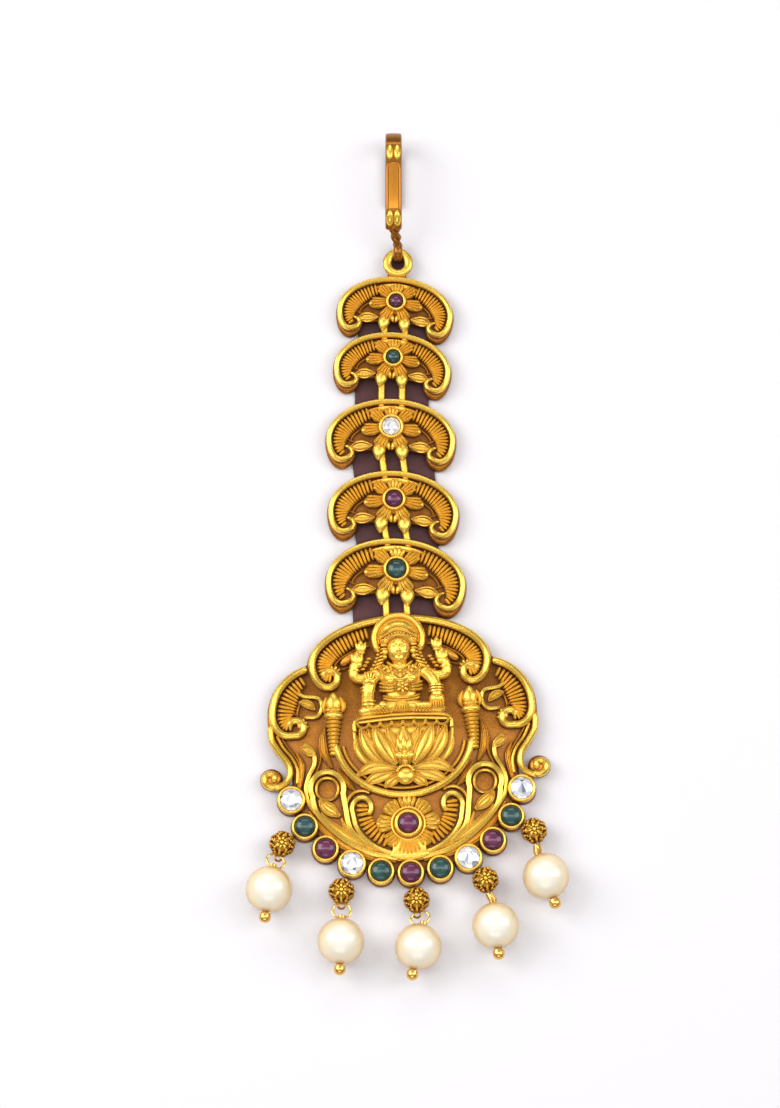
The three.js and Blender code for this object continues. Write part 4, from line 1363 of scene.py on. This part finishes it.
def addDress(part):
    # necklaces, the last one pointed, with small beads and fringes between them
    for drop, reach, size in figure["chains"]:
        left = [(-reach, 10.75 - drop * 0.5, 2.6), (-reach * 0.5, 10.05 - drop, 3.0)]
        left.append((0, 9.55 - drop * 1.1, 3.2))
        pour(part, sweep(curveThrough(symmetric(left), 24), size, size * 1.3, 6))
    for k in range(9):
        t = k / 4 - 1
        stampOne(part, "bead", 1.95 * t, 9.05 + 0.85 * t * t, 3.15 - 0.3 * t * t, 0, (0.2, 0.22, 0.22))
    for side in (-1, 1):
        for k in range(5):
            x, y, z = side * (1.1 + 0.42 * k), 9.95 + 0.12 * k, 2.95 - 0.14 * k
            stampOne(part, "rib", x, y, z, 90 - side * 24, (0.34, 0.13, 0.16))
        stampOne(part, "bead", side * 1.3, 8.3, 3.15, 0, (0.4, 0.34, 0.3))
    # medallion with six petals, sash and belt
    x, y = figure["medallion"]
    for k in range(6):
        lean = math.radians(60 * k + 30)
        tipX, tipY = x + 0.5 * math.cos(lean), y + 0.5 * math.sin(lean)
        stampOne(part, "bead", tipX, tipY, 3.0, math.degrees(lean), (0.32, 0.2, 0.22))
    stampOne(part, "bead", x, y, 3.1, 0, (0.22, 0.22, 0.24))
    line(part, arc(x, y, 0.92, 0.92, 0, 345, 20, 2.85), 0.1, 0.18, 6, closed=True)
    for side in (-1, 1):
        for k in range(3):
            sash = [(x + side * 1.1, 7.85 - 0.35 * k, 2.85), (side * 1.9, 7.95 - 0.4 * k, 2.7)]
            sash.append((side * 2.6, 8.25 - 0.45 * k, 2.2))
            pour(part, sweep(curveThrough(sash, 10), 0.15, 0.2, 6))
    for lift in (0.0, 0.34):
        high, low = 6.6 - lift, 6.25 - lift
        belt = [(-2.2, high, 2.3), (-1.0, low, 2.75), (1.0, low, 2.75), (2.2, high, 2.3)]
        pour(part, sweep(curveThrough(belt, 18), 0.14, 0.2, 6))
    # skirt folds fanned over the lap, and the ornament beside them
    for k in range(7):
        stampOne(part, "rib", 0.24 * (k - 3), 5.25, 2.95, 270 + 11 * (k - 3), (0.72, 0.15, 0.24))
    for side in (-1, 1):
        for k in range(6):
            lean = 90 - side * (30 + 5 * k)
            stampOne(part, "rib", side * (1.55 + 0.42 * k), 4.75 - 0.03 * k, 2.95, lean, (0.5, 0.13, 0.2))
        for k in range(4):
            x, y, z = side * (3.2 + 0.5 * k), 4.85 - 0.04 * k, 2.55 - 0.1 * k
            stampOne(part, "rib", x, y, z, 90 - side * 12, (0.5, 0.14, 0.2))
    stampOne(part, "round", -2.35, 5.4, 2.9, 0, (0.5, 0.5, 0.45))


def addHands(part):  # bangles, the raised palm, the giving hand, and buds in the two rear hands
    x, z, radius, heights = figure["frontBangles"]
    for y in heights:
        bangle(part, x, y, z, 90, radius)
    stampOne(part, "round", -3.8, 8.45, 2.75, 0, (0.72, 0.62, 0.42))
    for k in range(4):
        finger = put(-4.3 + 0.33 * k, 9.25 - 0.12 * abs(k - 1.5), 2.85, 97 - 8 * k, (0.55, 0.17, 0.22))
        stamp(part, shapes["rib"], finger)
    stampOne(part, "rib", -3.1, 8.65, 2.95, 50, (0.42, 0.17, 0.2))
    x, z, radius, heights = figure["givingBangles"]
    for y in heights:
        bangle(part, x, y, z, 90, radius + 0.1 * (heights[0] - y))
    stampOne(part, "round", 4.35, 5.95, 2.5, 0, (1.0, 0.75, 0.65))
    for k in range(6):
        height = 2.85 - 0.05 * abs(k - 2.5)
        stampOne(part, "rib", 3.6 + 0.3 * k, 5.5, height, 90, (0.85, 0.16, 0.32))
    for side in (-1, 1):
        bangle(part, side * 3.9, 9.15, 2.0, side * -35, 0.72)
        bangle(part, side * 5.7, 10.0, 2.1, 90, 0.68)
        stampOne(part, "round", side * 5.35, 10.75, 2.25, 0, (0.75, 0.5, 0.5))
        lotusBud(part, side * 5.25, 11.45, 2.2, 1.1)
        lotusBud(part, side * 4.7, 12.95, 2.0, 0.95)
        for k in range(4):
            x, y = side * (4.6 - 0.28 * k), 10.2 + 0.42 * k
            stampOne(part, "bead", x, y, 1.95, 0, (0.34, 0.2, 0.32))


def makeFigure():
    part = makeSkin()
    addHead(part)
    addDress(part)
    addHands(part)
    return part


finishPiece(makeFigure(), "seated_figure", "gold", (), pendantPlace, 50)
print("figure made")


edge = {
    "kinds": ["ruby", "emerald", "crystal", "ruby", "emerald", "crystal"],  # from the middle outwards
    "count": 11,
    "radius": 1.27,
    "crystalRadius": 1.36,
    "gap": 0.02,
    "wall": 0.36,
    "foot": 1.3,
    "girdle": 2.02,
    "dome": 0.55,
    "top": 2.12,
    "bed": (1.8, 1.8, 0.62),
}
heartStone = {"radius": 1.26, "foot": 1.7, "girdle": 2.6, "dome": 0.5}


def edgeStone(number):  # its kind and its radius
    kind = edge["kinds"][abs(number - (edge["count"] + 1) // 2)]
    return kind, edge["crystalRadius"] if kind == "crystal" else edge["radius"]


def makeEdgeBezels():
    part = bmesh.new()
    for number in range(1, edge["count"] + 1):
        spot = middleOf(f"edge_stone_{number}")
        kind, radius = edgeStone(number)
        bezel = bezelRing(radius + edge["gap"], radius + edge["wall"], 0.0, edge["top"])
        pour(part, moved(bezel, Matrix.Translation((spot.x, spot.y, 0))))
        stampOne(part, "round", spot.x, spot.y, 0.65, 0, edge["bed"])
    for drop in drops:
        spot, turn = dropLug(drop)
        loop = [Vector((p.x, 0, p.y)) for p in arc(0, 0, 0.5, 0.42, 0, 330, 12)]
        place = Matrix.Translation((spot.x, spot.y, 0.75)) @ Matrix.Rotation(turn, 4, "Z")
        eye = sweep(loop, 0.16, 0, 6, closed=True, up=(0, 1, 0))
        pour(part, moved(eye, place @ Matrix.Translation((-0.42, 0, 0))))
    return part


# The bead's centre, the pin's turn from straight down, the edge stone above it, and if its loop lies flat.
drops = [
    {"bead": (-15.0, -12.0), "pinTurn": -8, "stone": 2, "flat": True},
    {"bead": (-7.7, -17.85), "pinTurn": -2, "stone": 4, "flat": True},
    {"bead": (1.5, -18.95), "pinTurn": -12, "stone": 6, "flat": True},
    {"bead": (9.95, -16.45), "pinTurn": 6, "stone": 8, "flat": False},
    {"bead": (15.95, -10.35), "pinTurn": 18, "stone": 10, "flat": False},
]
beadSize = {
    "radius": 1.55,
    "z": 2.05,
    "core": 1.24,
    "petals": 8,
    "petalLean": 26,  # how far down from the boss the petals and their tips are
    "tipLean": 46,
    "collarY": -1.3,
    "eye": 0.42,
    "wire": 0.15,
    "foot": 1.78,
    "lugReach": 2.44,  # from the edge stone above
    "stem": 0.2,
}
pearlSize = {
    "radius": 2.9,
    "unevenness": 0.012,
    "tilt": 6,
    "ball": 0.74,
    "shaft": 0.15,
    "wire": 0.14,
    "loop": 1.15,
    "coil": {"turns": 2, "steps": 12, "wide": 0.36, "deep": 0.3, "tall": 0.3, "wire": 0.13},
    "wrap": {"turns": 5, "steps": 12, "radius": 0.46, "loss": 0.1, "share": 0.75, "wire": 0.14},
}


def dropLug(drop):  # where the lug over a bead is, and which way it points
    stone = middleOf(f"edge_stone_{drop['stone']}")
    away = Vector(drop["bead"]) - Vector((stone.x, stone.y))
    turn = math.atan2(away.y, away.x)
    return Vector((stone.x, stone.y)) + away.normalized() * beadSize["lugReach"], turn


def fallOf(drop, number):  # from the bead towards its pearl
    pearl = middleOf(f"pearl_{number}")
    return Vector((pearl.x, pearl.y)) - Vector(drop["bead"])


# One flower of the bead, facing +Z at the bead's surface: a boss and petals that bend down round the ball.
def rosette(target, turnTo, spin):
    radius = beadSize["radius"]
    stamp(target, shapes["bead"], turnTo @ put(0, 0, radius - 0.1, 0, (0.26, 0.26, 0.2)))
    for k in range(beadSize["petals"]):
        around = turnTo @ Matrix.Rotation(math.tau * (k + spin) / beadSize["petals"], 4, "Z")
        petal = put(0, 0, radius - 0.14, 0, (0.36, 0.18, 0.22))
        stamp(target, shapes["rib"], around @ rotation(beadSize["petalLean"], "Y") @ petal)
        tip = put(0, 0, radius - 0.16, 0, (0.15, 0.2, 0.17))
        stamp(target, shapes["bead"], around @ rotation(beadSize["tipLean"], "Y") @ tip)


def makeBead(drop, number):
    part = bmesh.new()
    stampOne(part, "round", 0, 0, 0, 0, (beadSize["core"],) * 3)
    faces = [(0, 0), (90, 0), (180, 0), (270, 0), (0, 90), (0, -90)]
    for index, (about, up) in enumerate(faces):
        rosette(part, rotation(about, "Y") @ rotation(up, "X"), 0.25 * (index % 2))
    # collar and eye below
    stampOne(part, "round", 0, beadSize["collarY"], 0, 0, (0.55, 0.2, 0.55))
    loop = arc(0, 0, beadSize["eye"], beadSize["eye"], 0, 330, 12)
    if not drop["flat"]:
        loop = [Vector((0, p.x, p.y)) for p in loop]
    up = (0, 0, 1) if drop["flat"] else (1, 0, 0)
    eye = sweep(loop, beadSize["wire"], 0, 6, closed=True, up=up)
    pour(part, moved(eye, put(0, -beadSize["foot"], 0)))
    fall = fallOf(drop, number)
    turn = Matrix.Rotation(math.atan2(fall.x, -fall.y), 4, "Z")
    moved(part, Matrix.Translation((*drop["bead"], beadSize["z"])) @ turn)
    # the eye that links to the lug above, and its stem
    spot, away = dropLug(drop)
    heading = Vector((math.cos(away), math.sin(away)))
    near, far = spot + 0.1 * heading, spot + 0.9 * heading
    link = sweep(arc(0, 0, 0.55, 0.5, 0, 330, 12), beadSize["wire"], 0, 6, closed=True)
    place = Matrix.Translation((*near, 0.8)) @ Matrix.Rotation(away, 4, "Z")
    pour(part, moved(link, place @ Matrix.Translation((0.3, 0, 0))))
    stem = [Vector((*far, 0.95)), Vector((*drop["bead"], 1.2))]
    pour(part, sweep(stem, beadSize["stem"], 0, 8))
    return part


def hangPlace(drop, number):
    spot = middleOf(f"pearl_{number}")
    return Matrix.Translation(spot) @ rotation(drop["pinTurn"], "Z") @ rotation(-pearlSize["tilt"], "X")


def makePearlBall(number):
    part = bmesh.new()
    bmesh.ops.create_uvsphere(part, u_segments=48, v_segments=32, radius=pearlSize["radius"])
    bmesh.ops.rotate(part, matrix=Matrix.Rotation(math.pi / 2, 3, "X"), verts=part.verts)
    own = Vector((number * 7.0, 0, 0))  # each pearl has its own place in the noise
    for vert in part.verts:
        vert.co *= 1 - pearlSize["unevenness"] * (0.5 + 0.5 * noise.noise(vert.co * 0.35 + own))
    return part


def makePin(drop, number):
    part = bmesh.new()
    radius = pearlSize["radius"]
    ball = pearlSize["ball"]
    # end ball with a flattened cap and a fine collar, as shares of its radius
    profile = [(0, 0.95), (0.45, 0.93), (0.6, 0.78), (0.92, 0.6), (1, 0.1 / ball)]
    profile += [(0.98, -0.25), (0.8, -0.66), (0.45, -0.9), (0, -1)]
    turn = Matrix.Translation((0, -radius - ball + 0.1, 0)) @ Matrix.Rotation(-math.pi / 2, 4, "X")
    pour(part, moved(turned([(r * ball, h * ball) for r, h in profile], 24), turn))
    # coil on the pearl's top and the shaft through it
    coil = pearlSize["coil"]
    count = coil["turns"] * coil["steps"]
    route = []
    for k in range(count + 1):
        a = math.tau * k / coil["steps"]
        height = radius + 0.02 + coil["tall"] * k / count
        route.append(Vector((coil["wide"] * math.cos(a), height, coil["deep"] * math.sin(a))))
    pour(part, sweep(route, coil["wire"], 0, 6, up=(0, 1, 0)))
    collar = Vector((0, radius + 0.35, 0))
    pour(part, sweep([Vector((0, -radius - 0.1, 0)), collar], pearlSize["shaft"], 0, 8))
    # the loop, from the pearl up to the eye under the bead
    eye = Vector((*drop["bead"], beadSize["z"]))
    eye += fallOf(drop, number).normalized().to_3d() * (beadSize["foot"] - 0.3)
    loopEnd = hangPlace(drop, number).inverted() @ eye
    foot = Vector((0, radius, 0))
    middle = foot.lerp(loopEnd, 0.5)
    rise = (loopEnd - foot).normalized()
    across = Vector((rise.y, -rise.x, 0)).normalized() if drop["flat"] else Vector((0, 0, 1))
    sideways = across * pearlSize["loop"]
    up = (0, 0, 1) if drop["flat"] else (1, 0, 0)
    loop = [middle + (loopEnd - middle) * p.y + sideways * p.x for p in arc(0, 0, 1, 1, 0, 348, 30)]
    pour(part, sweep(loop, pearlSize["wire"], 0, 8, closed=True, up=up))
    if not drop["flat"]:  # an upright loop is wrapped
        wrap = pearlSize["wrap"]
        count = wrap["turns"] * wrap["steps"]
        route = []
        for k in range(count + 1):
            a = math.tau * k / wrap["steps"]
            size = wrap["radius"] - wrap["loss"] * k / count
            spot = collar.lerp(loopEnd, wrap["share"] * k / count)
            route.append(spot + Vector((size * math.cos(a), 0, size * math.sin(a))))
        pour(part, sweep(route, wrap["wire"], 0, 6, up=(0, 1, 0)))
    return part


finishPiece(makeEdgeBezels(), "edge_bezels", "gold")
for number in range(1, edge["count"] + 1):
    kind, radius = edgeStone(number)
    makeStone(f"edge_stone_{number}", kind, radius, edge["foot"], edge["girdle"], edge["dome"], 10 + number)
makeStone("heart_stone", "ruby", *(heartStone[key] for key in ("radius", "foot", "girdle", "dome")), 30)
for number, drop in enumerate(drops, 1):
    place = hangPlace(drop, number)
    finishPiece(makeBead(drop, number), f"flower_bead_{number}", "bead", [f"rosette_bead_{number}"])
    finishPiece(makePin(drop, number), f"wire_pin_{number}", "wire", [f"head_pin_{number}"], place)
    finishPiece(makePearlBall(number), f"round_pearl_{number}", "pearl", [f"pearl_{number}"], place, 60)
print("stones and drops made")


ring = {"half": 0.2, "wide": 0.24, "high": 0.42}  # half the wire in the CAD, and as it is drawn here


def makeLinkRings(index):
    part = bmesh.new()
    for side in ("left", "right"):
        low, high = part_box(f"link_ring_{index}_{side}")
        middle = (low + high) / 2 / mm
        lean, reach, tall = ((high[i] - low[i]) / mm / 2 - ring["half"] for i in range(3))
        loop = []
        for p in arc(0, 0, tall, tall, 0, 345, 24):
            y = p.x + math.copysign(reach - tall, p.x)
            loop.append(Vector((-lean * y / reach, y, p.y)))
        drawn = sweep(loop, ring["wide"], ring["high"], 8, closed=True, up=(1, 0, 0))
        pour(part, moved(drawn, Matrix.Translation(middle)))
    return part


hook = {
    "x": -0.75,
    "stripX": -0.55,
    "strip": [(66.3, 4.1), (67.2, 5.1), (68.6, 5.7), (72.0, 6.05)],
    "bend": (75.9, 3.35, 2.6, 2.9),
    "tail": [(72.5, 0.45), (70.4, 0.45)],
    "halfWidth": 1.04,
    "halfThickness": 0.38,
    "eye": {"y": 63.95, "z": 1.4, "radius": 1.0, "wide": 0.28, "high": 0.52},
    "shank": [(0, 64.7, 1.6), (-0.25, 65.6, 2.7), (-0.5, 66.6, 4.4)],
    "twist": {"turns": 1.3, "wire": 0.36, "low": 0.26, "gain": 0.14},
    "face": {"top": 74.3, "foot": 68.2, "halfWidth": 0.66, "depth": 0.02},
    "border": {"gap": 0.14, "heights": (67.6, 68.4, 69.8, 71.3, 72.6, 73.5), "wide": 0.13, "high": 0.14},
    "cushions": [
        # height up the hook, half length, lean, lift
        (75.85, 1.35, -12, -0.28),
        (67.2, 1.1, 36, -0.2),
    ],
    "cushionX": 0.46,
    "cushionWide": 0.5,
    "cushionDeep": 0.42,
}


def hookStrip():
    y, z, ry, rz = hook["bend"]
    bend = [(p.x, p.y) for p in arc(y, z, ry, rz, 80, -90, 16)]
    return curveThrough([Vector((hook["stripX"], a, b)) for a, b in hook["strip"] + bend + hook["tail"]], 70)


def onHook(y, x, lift):  # a point on the strip's front, lift above it
    strip = hookStrip()
    a, b = next(pair for pair in zip(strip, strip[1:]) if pair[1].y >= y)
    height = a.lerp(b, (y - a.y) / (b.y - a.y)).z
    return Vector((hook["stripX"] + x, y, height + hook["halfThickness"] + lift))


def makeHook():
    part = bmesh.new()
    pour(part, sweep(hookStrip(), hook["halfThickness"], hook["halfWidth"], 24, up=(1, 0, 0), square=0.55))
    # raised border of the shallow channel, round at its top end
    border = hook["border"]
    half = hook["face"]["halfWidth"] + border["gap"]
    top = border["heights"][-1]
    side = [onHook(y, half, 0) for y in border["heights"]]
    side += [onHook(top + half * 1.1 * math.sin(a), half * math.cos(a), 0) for a in (0.4, 0.8, 1.2, 1.57)]
    other = [Vector((2 * hook["stripX"] - p.x, p.y, p.z)) for p in side[-2::-1]]
    pour(part, sweep(curveThrough(side + other, 60), border["wide"], border["high"], 8))
    # two strands twisted together, down to the eye
    twist = hook["twist"]
    core = curveThrough(hook["shank"], 40)
    for strand in (0, math.pi):
        helix = []
        for i, point in enumerate(core):
            a = strand + math.tau * twist["turns"] * i / len(core)
            size = twist["low"] + twist["gain"] * i / len(core)
            aside = size * 0.5 * math.sin(a)
            helix.append(point + Vector((size * math.cos(a), -aside, aside)))
        pour(part, sweep(helix, twist["wire"], 0, 8, up=(1, 0, 0)))
    eye = hook["eye"]
    loop = [Vector((0, p.x, p.y)) for p in arc(eye["y"], eye["z"], eye["radius"], eye["radius"], 0, 345, 24)]
    pour(part, sweep(loop, eye["wide"], eye["high"], 10, closed=True, up=(1, 0, 0)))
    return part


def tongue(t):  # round at the top end of the channel
    return math.sqrt(max(1 - max(0, (t - 0.92) / 0.08) ** 2, 0.1))


def makeHookFace():  # the floor of the channel, painted lighter than the strap but still in painted shade
    part = bmesh.new()
    face = hook["face"]
    rows = 24
    length = face["top"] - face["foot"]
    route = [onHook(face["foot"] + length * i / rows, 0, -face["depth"]) for i in range(rows + 1)]
    wide = face["halfWidth"]
    pour(part, sweep(curveThrough(route, 40), 0.10, wide, 12, up=(1, 0, 0), square=0.5, shape=tongue))
    return part


def makeHookCushions():  # on the upper and the lower bend
    part = bmesh.new()
    for y, tall, lean, lift in hook["cushions"]:
        size = (hook["cushionWide"], tall, hook["cushionDeep"])
        for side in (-1, 1):
            spot = onHook(y, side * hook["cushionX"], lift)
            place = Matrix.Translation(spot) @ rotation(lean, "X") @ Matrix.Diagonal((*size, 1))
            stamp(part, shapes["round"], place)
    return part


for index in range(1, 6):
    nodes = [f"link_ring_{index}_left", f"link_ring_{index}_right"]
    finishPiece(makeLinkRings(index), f"twin_rings_{index}", "gold", nodes)
hookPlace = Matrix.Translation((hook["x"], 0, 0))
# the hook's strap and channel take the painted-shade looks, darker than the gold
finishPiece(makeHook(), "hair_hook", "strapPaintedShade", ["hook"], hookPlace)
finishPiece(makeHookFace(), "hook_channel", "channelPaintedShade", (), hookPlace)
finishPiece(makeHookCushions(), "hook_cushions", "gold", (), hookPlace)
print("rings and hook made")


stage = {"size": 1.6, "colour": (0.80, 0.785, 0.81, 1)}
view = {
    "middle": (0, 0.025, 0),  # what the lights are aimed at
    "aim": (-0.00217, 0.0001),  # from the middle of the part to what the camera is aimed at
    "tilt": 13.0,
    "distance": 0.6,
    "lens": 155.96,
    "sensor": 36,
    "clip": (0.01, 10),
}


def makeFloor():
    finish = Finish("floor")
    finish.set(Base_Color=stage["colour"], Roughness=0.9, Specular_IOR_Level=0.1)
    bpy.ops.mesh.primitive_plane_add(size=stage["size"])
    floor = bpy.context.object
    floor.name = "floor"
    floor.data.materials.append(finish.material)


# Soft boxes: position, size and power, all aimed at the middle of the tikka.
softBoxes = [
    {"spot": (-0.34, 0.12, 0.30), "size": (0.30, 0.34), "watts": 1.3},
    {"spot": (0.37, 0.08, 0.32), "size": (0.26, 0.34), "watts": 0.85},
    {"spot": (0.0, 0.02, 0.46), "size": (0.60, 0.08), "watts": 0.5},
    {"spot": (0.0, 0.46, 0.34), "size": (0.42, 0.14), "watts": 0.55},
    {"spot": (-0.02, -0.36, 0.26), "size": (0.34, 0.12), "watts": 0.3},
]
sky = {"up": (0.60, 0.595, 0.61, 1), "side": (0.10, 0.085, 0.08, 1)}


def makeLights():
    middle = Vector(view["middle"])
    for number, box in enumerate(softBoxes):
        light = bpy.data.lights.new(f"soft_box_{number}", "AREA")
        light.shape = "RECTANGLE"
        light.size, light.size_y = box["size"]
        light.energy = box["watts"]
        holder = bpy.data.objects.new(light.name, light)
        holder.location = box["spot"]
        holder.rotation_mode = "QUATERNION"
        holder.rotation_quaternion = (middle - holder.location).to_track_quat("-Z", "Y")
        bpy.context.scene.collection.objects.link(holder)
    world = bpy.data.worlds.new("studio")
    world.use_nodes = True
    bpy.context.scene.world = world
    tree = world.node_tree
    place = tree.nodes.new("ShaderNodeTexCoord")
    split = tree.nodes.new("ShaderNodeSeparateXYZ")
    ramp = tree.nodes.new("ShaderNodeValToRGB")
    setStops(ramp.color_ramp, [(0.25, sky["side"][:3]), (0.95, sky["up"][:3])])
    tree.links.new(place.outputs["Generated"], split.inputs[0])
    tree.links.new(split.outputs["Z"], ramp.inputs["Fac"])
    tree.links.new(ramp.outputs["Color"], tree.nodes["Background"].inputs["Color"])


def makeCamera():
    data = bpy.data.cameras.new("camera")
    data.lens = view["lens"]
    data.sensor_width = view["sensor"]
    camera = bpy.data.objects.new("camera", data)
    bpy.context.scene.collection.objects.link(camera)
    middle = (cadLow + cadHigh) / 2
    aim = Vector((middle.x + view["aim"][0], middle.y + view["aim"][1], 0))
    tilt = math.radians(view["tilt"])
    camera.location = aim + view["distance"] * Vector((0, -math.sin(tilt), math.cos(tilt)))
    camera.rotation_euler = (tilt, 0, 0)
    data.clip_start, data.clip_end = view["clip"]
    bpy.context.scene.camera = camera


makeFloor()
makeLights()
makeCamera()
bpy.context.scene.view_settings.view_transform = "Standard"
print("stage set")
